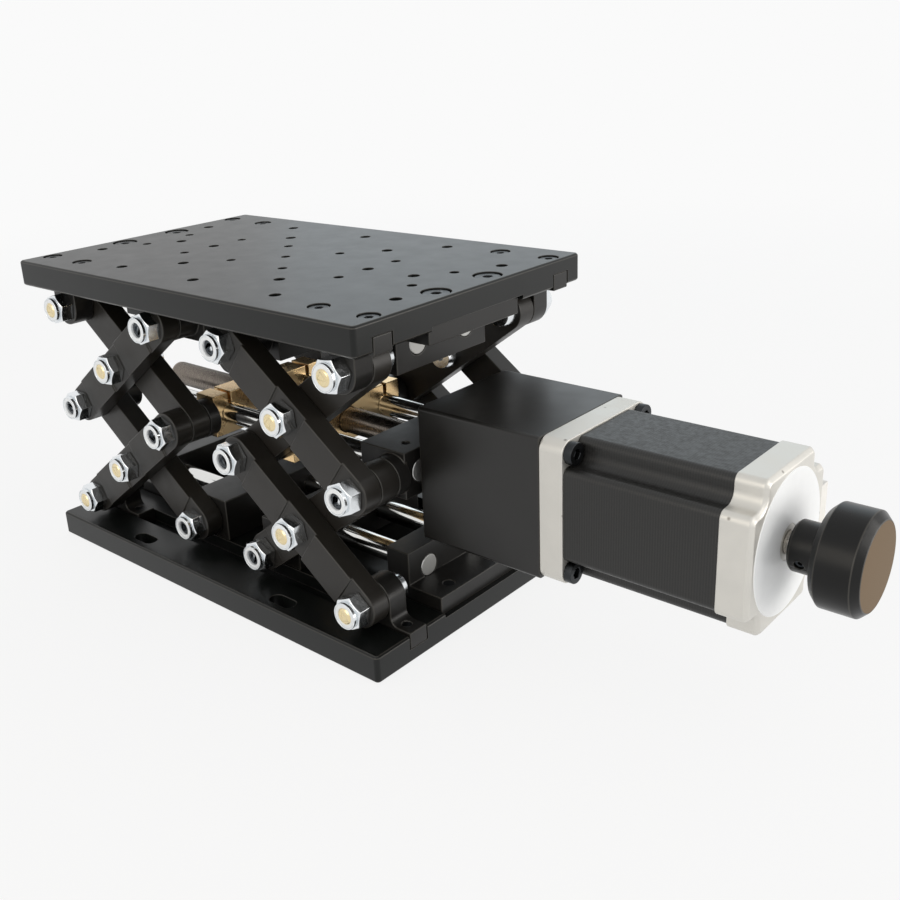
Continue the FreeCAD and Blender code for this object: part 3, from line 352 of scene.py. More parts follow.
def lock_nut_tree():
    """A nylon ring lock nut on its bolt or stud; Z runs outwards from the nut's seat."""
    tree, given, end = new_tree(
        "lock_nut", Flats="Float", Nut_height="Float", Collar_radius="Float",
        Nylon_radius="Float", Collar_height="Float", Bolt_radius="Float", Past_nut="Float",
        Grip="Float", Head_radius="Float", Head_height="Float", Socket_depth="Float",
        Headed="Bool", Seed="Int", Zinc="Material", Nylon="Material", Bolt="Material",
        Stud="Material")
    high, collar_high = given["Nut height"], given["Collar height"]
    bolt_radius, grip = given["Bolt radius"], given["Grip"]
    collar_wall, nylon_wide, ring_rounding = 0.5 * MM, 1.9 * MM, 0.3
    # shares: the nut's rim of its flats, tip and key of the bolt, the head's foot of its rim
    rim_part, tip_part, key_part, head_foot_part = 0.485, 0.72, 0.5, 0.86

    # the hexagon, with its corners taken off by a 30 degree cone
    corner = add(tree, "ShaderNodeMath", 0, {
        0: given["Flats"], 1: 1 / math.sqrt(3)}, operation="MULTIPLY")
    rim = add(tree, "ShaderNodeMath", 0, {0: given["Flats"], 1: rim_part},
              operation="MULTIPLY")
    foot = add(tree, "ShaderNodeMath", 0, {
        0: high, 1: math.sqrt(3), 2: rim}, operation="MULTIPLY_ADD")
    prism = add(tree, "GeometryNodeMeshCone", 0, {
        "Vertices": 6, "Radius Top": corner, "Radius Bottom": corner, "Depth": high})
    cone = add(tree, "GeometryNodeMeshCone", 0, {
        "Vertices": 64, "Radius Top": rim, "Radius Bottom": foot, "Depth": high})
    nut = add(tree, "GeometryNodeMeshBoolean", 0, {"Mesh 2": [prism, cone]},
              operation="INTERSECT", solver="EXACT")

    # the steel collar, inwards from its radius, and outwards from its own the nylon ring
    rings = []
    for edge, wide, finish in ((given["Collar radius"], -collar_wall, given["Zinc"]),
                               (given["Nylon radius"], nylon_wide, given["Nylon"])):
        centre = add(tree, "ShaderNodeMath", 0, {0: edge, 1: wide / 2}, operation="ADD")
        path = add(tree, "GeometryNodeCurvePrimitiveCircle", 0, {
            "Resolution": 40, "Radius": centre})
        section = add(tree, "GeometryNodeCurvePrimitiveQuadrilateral", 0, {
            "Width": abs(wide), "Height": collar_high})
        rounded = add(tree, "GeometryNodeFilletCurve", 0, {
            "Curve": section, "Count": 3, "Radius": abs(wide) * ring_rounding}, mode="POLY")
        ring = add(tree, "GeometryNodeCurveToMesh", 0, {
            "Curve": path, "Profile Curve": rounded})
        rings.append(add(tree, "GeometryNodeSetMaterial", 0, {
            "Geometry": ring, "Material": finish}))
    ring_z = add(tree, "ShaderNodeMath", 0, {
        0: collar_high, 1: 0.5, 2: high}, operation="MULTIPLY_ADD")
    ring_place = add(tree, "ShaderNodeCombineXYZ", 0, {"Z": ring_z})
    both_rings = add(tree, "GeometryNodeJoinGeometry", 0, {"Geometry": rings})
    collar = add(tree, "GeometryNodeTransform", 0, {
        "Geometry": both_rings, "Translation": ring_place})

    # the shank, made from its chamfered outer end inwards; a stud has a hex socket there
    nut_top = add(tree, "ShaderNodeMath", 0, {0: high, 1: collar_high}, operation="ADD")
    shank_top = add(tree, "ShaderNodeMath", 0, {
        0: nut_top, 1: given["Past nut"]}, operation="ADD")
    length = add(tree, "ShaderNodeMath", 0, {0: shank_top, 1: grip}, operation="ADD")
    bar = add(tree, "GeometryNodeMeshCone", 0, {
        "Vertices": 40, "Radius Top": bolt_radius, "Radius Bottom": bolt_radius,
        "Depth": length})
    tip_radius = add(tree, "ShaderNodeMath", 0, {0: bolt_radius, 1: tip_part},
                     operation="MULTIPLY")
    tip_foot = add(tree, "ShaderNodeMath", 0, {0: length, 1: tip_radius}, operation="ADD")
    point = add(tree, "GeometryNodeMeshCone", 0, {
        "Vertices": 40, "Radius Bottom": tip_radius, "Radius Top": tip_foot,
        "Depth": length})
    shank = add(tree, "GeometryNodeMeshBoolean", 0, {"Mesh 2": [bar, point]},
                operation="INTERSECT", solver="EXACT")
    key_radius = add(tree, "ShaderNodeMath", 0, {0: bolt_radius, 1: key_part},
                     operation="MULTIPLY")
    key_length = add(tree, "ShaderNodeMath", 0, {0: given["Socket depth"], 1: 2.0},
                     operation="MULTIPLY")
    key = add(tree, "GeometryNodeMeshCylinder", 0, {
        "Vertices": 6, "Radius": key_radius, "Depth": key_length})
    pocketed = add(tree, "GeometryNodeMeshBoolean", 0, {"Mesh 1": shank, "Mesh 2": key},
                   operation="DIFFERENCE", solver="EXACT")
    core = add(tree, "GeometryNodeSwitch", 0, {
        "Switch": given["Headed"], "False": pocketed, "True": shank}, input_type="GEOMETRY")
    core_place = add(tree, "ShaderNodeCombineXYZ", 0, {"Z": shank_top})
    core_laid = add(tree, "GeometryNodeTransform", 0, {
        "Geometry": core, "Translation": core_place, "Rotation": (math.pi, 0, 0)})

    # the bolt's socket head behind the links
    head_foot = add(tree, "ShaderNodeMath", 0, {
        0: given["Head radius"], 1: head_foot_part}, operation="MULTIPLY")
    head = add(tree, "GeometryNodeMeshCone", 0, {
        "Vertices": 48, "Radius Top": given["Head radius"], "Radius Bottom": head_foot,
        "Depth": given["Head height"]})
    socketed = add(tree, "GeometryNodeMeshBoolean", 0, {"Mesh 1": head, "Mesh 2": key},
                   operation="DIFFERENCE", solver="EXACT")
    head_z = add(tree, "ShaderNodeMath", 0, {0: grip, 1: given["Head height"]},
                 operation="ADD")
    head_place = add(tree, "ShaderNodeVectorMath", 0, {
        0: (0, 0, -1), "Scale": head_z}, operation="SCALE")
    head_laid = add(tree, "GeometryNodeTransform", 0, {
        "Geometry": socketed, "Translation": head_place})
    own_head = add(tree, "GeometryNodeSwitch", 0, {
        "Switch": given["Headed"], "True": head_laid}, input_type="GEOMETRY")

    core_finish = add(tree, "GeometryNodeSwitch", 0, {
        "Switch": given["Headed"], "False": given["Stud"], "True": given["Bolt"]},
        input_type="MATERIAL")
    coloured_core = add(tree, "GeometryNodeSetMaterial", 0, {
        "Geometry": core_laid, "Material": core_finish})
    nut_and_head = add(tree, "GeometryNodeJoinGeometry", 0, {"Geometry": [nut, own_head]})
    coloured_nut = add(tree, "GeometryNodeSetMaterial", 0, {
        "Geometry": nut_and_head, "Material": given["Zinc"]})
    whole = add(tree, "GeometryNodeJoinGeometry", 0, {
        "Geometry": [coloured_nut, collar, coloured_core]})
    scattered(tree, given, end, whole)
    return tree


def socket_screw_tree():
    """A socket head screw; Z runs out of its head, and the head's under face is at zero."""
    tree, given, end = new_tree(
        "socket_screw", Head_radius="Float", Head_height="Float", Socket_radius="Float",
        Socket_depth="Float", Shank_radius="Float", Shank_length="Float", Seed="Int",
        Steel="Material")
    head = add(tree, "GeometryNodeMeshCone", 0, {
        "Vertices": 48, "Radius Top": given["Head radius"],
        "Radius Bottom": given["Head radius"], "Depth": given["Head height"]})
    key_length = add(tree, "ShaderNodeMath", 0, {0: given["Socket depth"], 1: 2.0},
                     operation="MULTIPLY")
    key = add(tree, "GeometryNodeMeshCylinder", 0, {
        "Vertices": 6, "Radius": given["Socket radius"], "Depth": key_length})
    key_place = add(tree, "ShaderNodeCombineXYZ", 0, {"Z": given["Head height"]})
    key_laid = add(tree, "GeometryNodeTransform", 0, {
        "Geometry": key, "Translation": key_place})
    cupped = add(tree, "GeometryNodeMeshBoolean", 0, {"Mesh 1": head, "Mesh 2": key_laid},
                 operation="DIFFERENCE", solver="EXACT")
    shank = add(tree, "GeometryNodeMeshCone", 0, {
        "Vertices": 32, "Radius Top": given["Shank radius"],
        "Radius Bottom": given["Shank radius"], "Depth": given["Shank length"]})
    shank_place = add(tree, "ShaderNodeVectorMath", 0, {
        0: (0, 0, -1), "Scale": given["Shank length"]}, operation="SCALE")
    shank_laid = add(tree, "GeometryNodeTransform", 0, {
        "Geometry": shank, "Translation": shank_place})
    whole = add(tree, "GeometryNodeJoinGeometry", 0, {"Geometry": [cupped, shank_laid]})
    coated = add(tree, "GeometryNodeSetMaterial", 0, {
        "Geometry": whole, "Material": given["Steel"]})
    scattered(tree, given, end, coated)
    return tree


def spacer_tree():
    """A plain round spacer that runs from its point along its own Z."""
    tree, given, end = new_tree("spacer", Radius="Float", Length="Float", Seed="Int",
                                Finish="Material")
    drum = add(tree, "GeometryNodeMeshCone", 0, {
        "Vertices": 64, "Radius Top": given["Radius"], "Radius Bottom": given["Radius"],
        "Depth": given["Length"]})
    coated = add(tree, "GeometryNodeSetMaterial", 0, {
        "Geometry": drum, "Material": given["Finish"]})
    scattered(tree, given, end, coated)
    return tree


def lead_screw_tree():
    """The screw's core with a square thread, right handed towards the motor and left behind."""
    tree, given, end = new_tree(
        "lead_screw", Core_radius="Float", Crest_radius="Float", Pitch="Float",
        Right_length="Float", Left_length="Float", Journal_radius="Float",
        Journal_end="Float", Seed="Int", Steel="Material")
    deep = add(tree, "ShaderNodeMath", 0, {0: given["Crest radius"], 1: given["Core radius"]},
               operation="SUBTRACT")
    radius = add(tree, "ShaderNodeMath", 0, {0: deep, 1: 0.5, 2: given["Core radius"]},
                 operation="MULTIPLY_ADD")
    land_part = 0.45
    land = add(tree, "ShaderNodeMath", 0, {0: given["Pitch"], 1: land_part},
               operation="MULTIPLY")
    section = add(tree, "GeometryNodeCurvePrimitiveQuadrilateral", 0, {
        "Width": deep, "Height": land})
    shapes = []
    for hand, side in ((1, given["Right length"]), (-1, given["Left length"])):
        reach = add(tree, "ShaderNodeMath", 0, {0: side, 1: given["Pitch"]},
                    operation="SUBTRACT")
        turns = add(tree, "ShaderNodeMath", 0, {0: reach, 1: given["Pitch"]},
                    operation="DIVIDE")
        climb = add(tree, "ShaderNodeMath", 0, {0: reach, 1: hand}, operation="MULTIPLY")
        helix = add(tree, "GeometryNodeCurveSpiral", 0, {
            "Resolution": 28, "Rotations": turns, "Start Radius": radius,
            "End Radius": radius, "Height": climb, "Reverse": hand < 0})
        upright = add(tree, "GeometryNodeSetCurveNormal", 0, {"Curve": helix}, mode="Z_UP")
        ridge = add(tree, "GeometryNodeCurveToMesh", 0, {
            "Curve": upright, "Profile Curve": section, "Fill Caps": True})
        half_turn = add(tree, "ShaderNodeVectorMath", 0, {
            0: (0, 0, hand * 0.5), "Scale": given["Pitch"]}, operation="SCALE")
        shapes.append(add(tree, "GeometryNodeTransform", 0, {
            "Geometry": ridge, "Translation": half_turn}))
    # the core, and the thinner journal that leaves its middle for the coupling
    for radius, back, stop in (
            (given["Core radius"], given["Left length"], given["Right length"]),
            (given["Journal radius"], 0.0, given["Journal end"])):
        length = add(tree, "ShaderNodeMath", 0, {0: back, 1: stop}, operation="ADD")
        bar = add(tree, "GeometryNodeMeshCone", 0, {
            "Vertices": 48, "Radius Top": radius, "Radius Bottom": radius, "Depth": length})
        bar_place = add(tree, "ShaderNodeVectorMath", 0, {
            0: (0, 0, -1), "Scale": back}, operation="SCALE")
        shapes.append(add(tree, "GeometryNodeTransform", 0, {
            "Geometry": bar, "Translation": bar_place}))
    whole = add(tree, "GeometryNodeJoinGeometry", 0, {"Geometry": shapes})
    coated = add(tree, "GeometryNodeSetMaterial", 0, {
        "Geometry": whole, "Material": given["Steel"]})
    scattered(tree, given, end, coated)
    return tree


# Meshes

def baked(made):
    """The evaluated object as a plain mesh."""
    depsgraph = bpy.context.evaluated_depsgraph_get()
    depsgraph.update()
    return bpy.data.meshes.new_from_object(made.evaluated_get(depsgraph))


def with_broken_edges(mesh, edge_mm, rubbed_and_highlit=False, rings=2, angle=32):
    """The mesh with its sharp edges broken, shaded smooth over the curved faces."""
    made = bpy.data.objects.new("edge_form", mesh)
    bpy.context.scene.collection.objects.link(made)
    mesh.shade_smooth()
    bevel = made.modifiers.new("edge", "BEVEL")
    bevel.width = edge_mm * MM
    bevel.segments = rings
    bevel.limit_method = "ANGLE"
    bevel.angle_limit = math.radians(angle)
    bevel.use_clamp_overlap = False
    # the broken edges take the lighter edge finish: rubbed oxide and a painted highlight
    if rubbed_and_highlit:
        bevel.material = 1
    weights = made.modifiers.new("flat_faces_lead", "WEIGHTED_NORMAL")
    weights.weight = 100
    weights.keep_sharp = True
    finished = baked(made)
    bpy.data.objects.remove(made)
    return finished


def placed_object(name, mesh, body, replaced=()):
    """Puts a finished mesh in the scene on its body."""
    made = bpy.data.objects.new(name, mesh)
    bpy.context.scene.collection.objects.link(made)
    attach(made, body)
    if replaced:
        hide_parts(*replaced)
    return made


def grown(tree, points, turns, **inputs):
    """Runs a tree on its points and gives the result as one plain mesh."""
    seeds = bpy.data.meshes.new("seeds")
    seeds.from_pydata([Vector(point) * MM for point in points], [], [])
    layer = seeds.attributes.new("turn", "FLOAT_VECTOR", "POINT")
    layer.data.foreach_set("vector", [part for turn in turns for part in turn])
    made = bpy.data.objects.new("seeds", seeds)
    bpy.context.scene.collection.objects.link(made)
    modifier = made.modifiers.new("grow", "NODES")
    modifier.node_group = tree
    for item in tree.interface.items_tree:
        label = item.name.replace(" ", "_")
        if item.in_out == "INPUT" and label in inputs:
            modifier[item.identifier] = inputs[label]
    mesh = baked(made)
    made.modifiers.remove(modifier)
    bpy.data.objects.remove(made)
    return mesh


def flattened(name):
    """A copy of a CAD node's mesh with its flat faces whole again."""
    form = bmesh.new()
    form.from_mesh(nodes[name].data)
    bmesh.ops.remove_doubles(form, verts=form.verts, dist=2e-6)
    bmesh.ops.dissolve_limit(form, angle_limit=math.radians(0.4), verts=form.verts,
                             edges=form.edges, delimit={"NORMAL"})
    mesh = bpy.data.meshes.new(name + "_dressed")
    form.to_mesh(mesh)
    form.free()
    mesh.materials.clear()
    return mesh


def cut_to(mesh, low, high):
    """What is left of a closed mesh inside a box, given by two corners in millimetres."""
    form = bmesh.new()
    low, high = Vector(low) * MM, Vector(high) * MM
    bmesh.ops.create_cube(form, size=1, matrix=Matrix.Translation((low + high) / 2)
                          @ Matrix.Diagonal((*(high - low), 1)))
    box_mesh = bpy.data.meshes.new("cut_box")
    form.to_mesh(box_mesh)
    form.free()
    box = bpy.data.objects.new("cut_box", box_mesh)
    made = bpy.data.objects.new("cut_form", mesh)
    for each in (box, made):
        bpy.context.scene.collection.objects.link(each)
    keep = made.modifiers.new("keep", "BOOLEAN")
    keep.operation = "INTERSECT"
    keep.solver = "EXACT"
    keep.object = box
    kept = baked(made)
    bpy.data.objects.remove(made)
    bpy.data.objects.remove(box)
    return kept


# what is shown of these nodes: boxes given by two corners, in millimetres
FAR = 500.0
KEPT_BOXES = {
    "middle_block_right": ((75.5, -FAR, -FAR), (FAR, FAR, FAR)),
    "middle_guide_rods": ((-60.0, -FAR, -FAR), (FAR, FAR, FAR)),
    "right_carriage": ((20.5, -34.5, 62.1), (33.4, 34.5, 82.2)),
    "left_carriage": ((-33.4, -34.5, 62.1), (-20.5, 34.5, 82.2)),
}

# the share of the stator's width that is shown, so that the front flange stands proud of it
STATOR_SLIM = 0.975

# how wide the broken edges of each finish are
EDGE_MM = {"plate_anodised": 0.25, "link_anodised": 0.45, "block_anodised": 0.45,
           "housing_anodised": 0.35, "knob_anodised": 0.25, "rod_chrome": 0.6,
           "shaft_steel": 0.4, "carriage_brass": 0.35, "stator_black": 0.15,
           "bell_cast": 0.4, "connector_plastic": 0.3}


def dressed(name):
    """A CAD node with its edges broken, in its finish; anodised edges are lighter, partly rubbed
    oxide and partly a painted highlight.
    """
    slot = slot_of[name]
    mesh = flattened(name)
    if name in KEPT_BOXES:
        mesh = cut_to(mesh, *KEPT_BOXES[name])
    mesh.materials.clear()
    mesh.materials.append(FINISHES[slot])
    # anodised edges get a lighter finish, partly rubbed oxide and partly a painted highlight
    rubbed_and_highlit = slot.endswith("anodised")
    if rubbed_and_highlit:
        mesh.materials.append(RUBBED_EDGE_AND_HIGHLIGHT)
    if name == "motor_stator":
        axis = Matrix.Translation((0, 0, MOTOR_AXIS_Z))
        mesh.transform(axis @ Matrix.Diagonal((1, STATOR_SLIM, STATOR_SLIM, 1))
                       @ axis.inverted())
    # the knob's turned end, whose brown is a painted reflection, and the rods' sawn ends have
    # finishes of their own
    if name == "knob":
        mesh.materials.append(KNOB_FACE_PAINTED_REFLECTION)
        end = max(vertex.co.x for vertex in mesh.vertices)
        for face in mesh.polygons:
            if face.center.x > end - 0.01 * MM:
                face.material_index = 2
    if slot == "rod_chrome":
        mesh.materials.append(SAWN_END)
        for face in mesh.polygons:
            if abs(face.normal.x) > 0.9:
                face.material_index = 1
    finished = with_broken_edges(mesh, EDGE_MM[slot], rubbed_and_highlit)
    return placed_object(name + "_dressed", finished, body_of[name], [name])


# Fasteners, spacers and the lead screw. Places and sizes are in millimetres.

AXIS_Z = MOTOR_AXIS_Z / MM
OUTER_X, CROSS_X, INNER_X = 93.3, 59.203, 25.106
SEAT_FRONT, SEAT_REAR, SEAT_EAR = 59.5, 49.4, 60.5
HEAD_FACE, SLIDER_ROOT, MID_ROOT = 40.4, 31.2, 30.3
NUT_SIZES = {"Flats": 13, "Nut_height": 6.2, "Collar_radius": 5.7, "Collar_height": 1.8,
             "Nylon_radius": 3.4, "Bolt_radius": 4, "Head_radius": 6.5, "Head_height": 4.6,
             "Socket_depth": 2.6}
BOLT_PAST_NUT, STUD_PAST_NUT = 0.3, -0.9
# turns that point a form's Z at the near side, the far side, down, up or to the motor
NEAR_TURN, FAR_TURN = (math.pi / 2, 0, 0), (-math.pi / 2, 0, 0)
DOWN_TURN, UP_TURN, MOTOR_TURN = (math.pi, 0, 0), (0, 0, 0), (0, math.pi / 2, 0)


def metres(sizes):
    """Named sizes in millimetres as a tree takes them."""
    return {name: size * MM for name, size in sizes.items()}


def pivot_fasteners(name, xs, seat, root, headed, seed):
    """The nuts and bolts, or studs, of one node, on both sides of the object."""
    z = sum(corner[2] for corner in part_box(name)) / 2 / MM
    points, turns = [], []
    for x in xs:
        points += [(x, -seat, z), (x, seat, z)]
        turns += [NEAR_TURN, FAR_TURN]
    past_nut = BOLT_PAST_NUT if headed else STUD_PAST_NUT
    mesh = grown(LOCK_NUT, points, turns, Past_nut=past_nut * MM, Grip=(seat - root) * MM,
                 Headed=headed, Seed=seed, Zinc=FINISHES["zinc_steel"], Nylon=NYLON,
                 Bolt=YELLOW_ZINC, Stud=STUD_STEEL, **metres(NUT_SIZES))
    placed_object(name + "_dressed", with_broken_edges(mesh, 0.22), body_of[name], [name])


def all_pivot_fasteners():
    both = (OUTER_X, -OUTER_X)
    pivot_fasteners("base_pivot_bolts", both, SEAT_FRONT, HEAD_FACE, True, 3)
    pivot_fasteners("top_pivot_bolts", both, SEAT_EAR, HEAD_FACE, True, 5)
    pivot_fasteners("middle_pivot_studs", both, SEAT_FRONT, MID_ROOT, False, 8)
    seed = 11
    for end, hand in (("right", 1), ("left", -1)):
        for tier in ("lower", "upper"):
            pivot_fasteners(f"{tier}_{end}_crossing_bolts", (hand * CROSS_X,), SEAT_FRONT,
                            HEAD_FACE, True, seed)
            seed += 1
        for part, seat in (("base_slider", SEAT_REAR), ("carriage", SEAT_FRONT),
                           ("top_slider", SEAT_FRONT)):
            pivot_fasteners(f"{end}_{part}_studs", (hand * INNER_X,), seat, SLIDER_ROOT, False,
                            seed)
            seed += 1


# radius and length of each screw's head, socket and shank
BRACKET_SCREW = (4.0, 4.9), (1.8, 2.2), (2.0, 7.5)
BLOCK_SCREW = (5.4, 4.9), (2.25, 2.2), (2.5, 12.3)
FLANGE_SCREW = (4.3, 3.2), (2.2, 2.2), (2.5, 10.0)
ROD_CLAMP_SCREW = (1.65, 3.2), (0.9, 1.6), (1.4, 0.5)
KNOB_SCREW = (1.65, 2.6), (0.9, 1.6), (1.4, 0.5)


def socket_screws(points, turn, screw, seed, finish):
    """Socket screws of one kind, all turned alike."""
    head, socket, shank = screw
    sizes = {"Head_radius": head[0], "Head_height": head[1], "Socket_radius": socket[0],
             "Socket_depth": socket[1], "Shank_radius": shank[0], "Shank_length": shank[1]}
    return grown(SOCKET_SCREW, points, [turn] * len(points), Seed=seed, Steel=finish,
                 **metres(sizes))


def merged(meshes):
    """Several meshes as one, each keeping its finish."""
    whole = bmesh.new()
    finishes = []
    for mesh in meshes:
        before = len(whole.faces)
        whole.from_mesh(mesh)
        whole.faces.ensure_lookup_table()
        own = list(mesh.materials) or [None]
        for face in whole.faces[before:]:
            finish = own[min(face.material_index, len(own) - 1)]
            if finish not in finishes:
                finishes.append(finish)
            face.material_index = finishes.index(finish)
    result = bpy.data.meshes.new("merged")
    whole.to_mesh(result)
    whole.free()
    for finish in finishes:
        result.materials.append(finish)
    return result


BASE_BRACKET_Y, TOP_BRACKET_Y, BRACKET_SCREW_OFFSET = 45.4, 55.5, 12.9
BLOCK_SCREW_X, BLOCK_SCREW_Y, PLATE_SCREW_SEAT = 104.0, 16.0, 5.5


def plate_screws(name, bracket_y, seat_z, turn, seed):
    """The sunk screws of one plate: two sizes, from above or below."""
    black = FINISHES["black_screw_steel"]
    small = [(sign * (OUTER_X + side * BRACKET_SCREW_OFFSET), row * bracket_y, seat_z)
             for sign in (1, -1) for side in (1, -1) for row in (1, -1)]
    large = [(sign * BLOCK_SCREW_X, row * BLOCK_SCREW_Y, seat_z)
             for sign in (1, -1) for row in (1, -1)]
    mesh = merged([socket_screws(small, turn, BRACKET_SCREW, seed, black),
                   socket_screws(large, turn, BLOCK_SCREW, seed + 1, black)])
    placed_object(name + "_dressed", with_broken_edges(mesh, 0.25), body_of[name], [name])


def all_plate_screws():
    top_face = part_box("top_plate")[1][2] / MM
    plate_screws("base_plate_screws", BASE_BRACKET_Y, PLATE_SCREW_SEAT, DOWN_TURN, 31)
    plate_screws("top_plate_screws", TOP_BRACKET_Y, top_face - PLATE_SCREW_SEAT, UP_TURN, 35)


FLANGE_BACK_X, FLANGE_SCREW_OFFSET = 170, 23.57


def motor_screws():
    both = (-FLANGE_SCREW_OFFSET, FLANGE_SCREW_OFFSET)
    points = [(FLANGE_BACK_X, y, AXIS_Z + z) for y in both for z in both]
    mesh = socket_screws(points, MOTOR_TURN, FLANGE_SCREW, 41, FINISHES["black_screw_steel"])
    placed_object("motor_flange_screws_dressed", with_broken_edges(mesh, 0.3), "middle_frame",
                  ["motor_flange_screws"])


ROD_CLAMP_X, ROD_Y, ROD_CLAMP_SEAT = 92, 25, 6
KNOB_SCREW_X, KNOB_SCREW_SEAT, KNOB_SCREW_LEAN = 248.4, 5.4, 20


def rod_clamp_screws():
    """Grub screws over the middle rods' right ends."""
    points = [(ROD_CLAMP_X, y, AXIS_Z + ROD_CLAMP_SEAT) for y in (-ROD_Y, ROD_Y)]
    mesh = socket_screws(points, UP_TURN, ROD_CLAMP_SCREW, 51, FINISHES["black_screw_steel"])
    placed_object("rod_clamp_screws", with_broken_edges(mesh, 0.12), "middle_frame")


def knob_set_screw():
    """The grub screw in the knob's hub, a little below the near side."""
    lean = math.radians(KNOB_SCREW_LEAN)
    point = (KNOB_SCREW_X, -KNOB_SCREW_SEAT * math.cos(lean),
             AXIS_Z - KNOB_SCREW_SEAT * math.sin(lean))
    turn = (math.radians(90 + KNOB_SCREW_LEAN), 0, 0)
    mesh = socket_screws([point], turn, KNOB_SCREW, 53, STUD_STEEL)
    placed_object("knob_set_screw", with_broken_edges(mesh, 0.12), "drive_shaft")


SPACER_RADIUS, LINK_FACE_Y, CARRIAGE_SIDE_Y, BOSS_END_Y = 9, 40.2, 34.3, 31.0


def spacers(name, body, x, inner_y, replaced=()):
    """Turned black spacers between the links and what lies inside them, on both sides."""
    points = [(x, -LINK_FACE_Y, AXIS_Z), (x, LINK_FACE_Y, AXIS_Z)]
    mesh = grown(SPACER, points, [FAR_TURN, NEAR_TURN], Radius=SPACER_RADIUS * MM,
                 Length=(LINK_FACE_Y - inner_y) * MM, Seed=1,
                 Finish=FINISHES["block_anodised"])
    placed_object(name, with_broken_edges(mesh, 0.4), body, replaced)


def all_spacers():
    """The bosses in place of the left block, and the spacers beside the two carriages."""
    spacers("middle_block_left_dressed", "middle_frame", -OUTER_X, BOSS_END_Y,
            ["middle_block_left"])
    for end, hand in (("right", 1), ("left", -1)):
        spacers(f"{end}_carriage_spacers", body_of[f"{end}_carriage"], hand * INNER_X,
                CARRIAGE_SIDE_Y)


LEAD_SCREW_SIZES = {"Core_radius": 5.8, "Crest_radius": 6, "Pitch": 1.5,
                    "Right_length": 75.3, "Left_length": 94, "Journal_radius": 3.98,
                    "Journal_end": 126}


def lead_screw():
    mesh = grown(LEAD_SCREW, [(0, 0, AXIS_Z)], [MOTOR_TURN], Seed=61, Steel=SCREW_STEEL,
                 **metres(LEAD_SCREW_SIZES))
    placed_object("lead_screw_dressed", with_broken_edges(mesh, 0.12, rings=1),
                  body_of["lead_screw"], ["lead_screw"])


PIN_XS, PIN_ROWS, PIN_FOOT_Y = (232.6, 236.0), (-4.4, 0, 4.4), 31.4
PIN_RADIUS, PIN_LENGTH = 0.45, 3.4


def inlet_pins():
    """Six gold pins on the floor of the motor's cable inlet."""
    points = [(x, PIN_FOOT_Y, AXIS_Z + z) for x in PIN_XS for z in PIN_ROWS]
    mesh = grown(SPACER, points, [FAR_TURN] * len(points), Radius=PIN_RADIUS * MM,
                 Length=PIN_LENGTH * MM, Seed=71, Finish=GOLD_PIN)
    placed_object("motor_inlet_pins", with_broken_edges(mesh, 0.1),
                  body_of["motor_connector"])


# the label plate's section as x and radius, and how many sides its circles have
LABEL_SECTION = (241.0, 6.5), (241.22, 6.6), (241.22, 25.8), (241.0, 26.0)
LABEL_SIDES = 96


def blank_label():
    """The round plate on the motor's rear face, left blank."""
    form = bmesh.new()
    loops = []
    centre = Vector((0, 0, MOTOR_AXIS_Z))
    turns = [k * math.tau / LABEL_SIDES for k in range(LABEL_SIDES)]
    for x, radius in LABEL_SECTION:
        loops.append([form.verts.new(centre + Vector((
            x * MM, radius * MM * math.cos(turn), radius * MM * math.sin(turn))))
            for turn in turns])
    for one, other in zip(loops, loops[1:] + loops[:1]):
        for k in range(LABEL_SIDES):
            after = (k + 1) % LABEL_SIDES
            form.faces.new((one[k], one[after], other[after], other[k]))
    bmesh.ops.recalc_face_normals(form, faces=form.faces)
    mesh = bpy.data.meshes.new("blank_label")
    form.to_mesh(mesh)
    form.free()
    mesh.materials.append(BLANK_LABEL)
    placed_object("blank_label", mesh, "middle_frame")


# Studio

FLOOR_RADIUS, FADE_START, FADE_END = 1.6, 0.45, 1.2
WORLD_LIGHT, FLOOR_GLOW = 0.64, 0.88
MIDDLE = (0.06, 0.0, 0.07)
# name, place in metres, width, height, watts and colour
LAMPS = (
    ("front_window", (0.2, -1.3, 0.7), 1.0, 0.8, 5, "#fff6e8"),
    ("back_window", (-0.5, 1.25, 0.75), 1.5, 0.9, 1.8, "#bfe2f4"),
    ("right_window", (1.25, 0.5, 0.3), 1.0, 0.8, 9, "#fffbf6"),
)


def seen_directly(tree):
    """One for the rays that show the surroundings, and zero for those that only light."""
    rays = tree.nodes.new("ShaderNodeLightPath").outputs
    sharp = add(tree, "ShaderNodeMath", 0, {
        0: rays["Is Camera Ray"], 1: rays["Is Glossy Ray"]}, operation="MAXIMUM")
    return add(tree, "ShaderNodeMath", 0, {
        0: sharp, 1: rays["Is Transmission Ray"]}, operation="MAXIMUM")


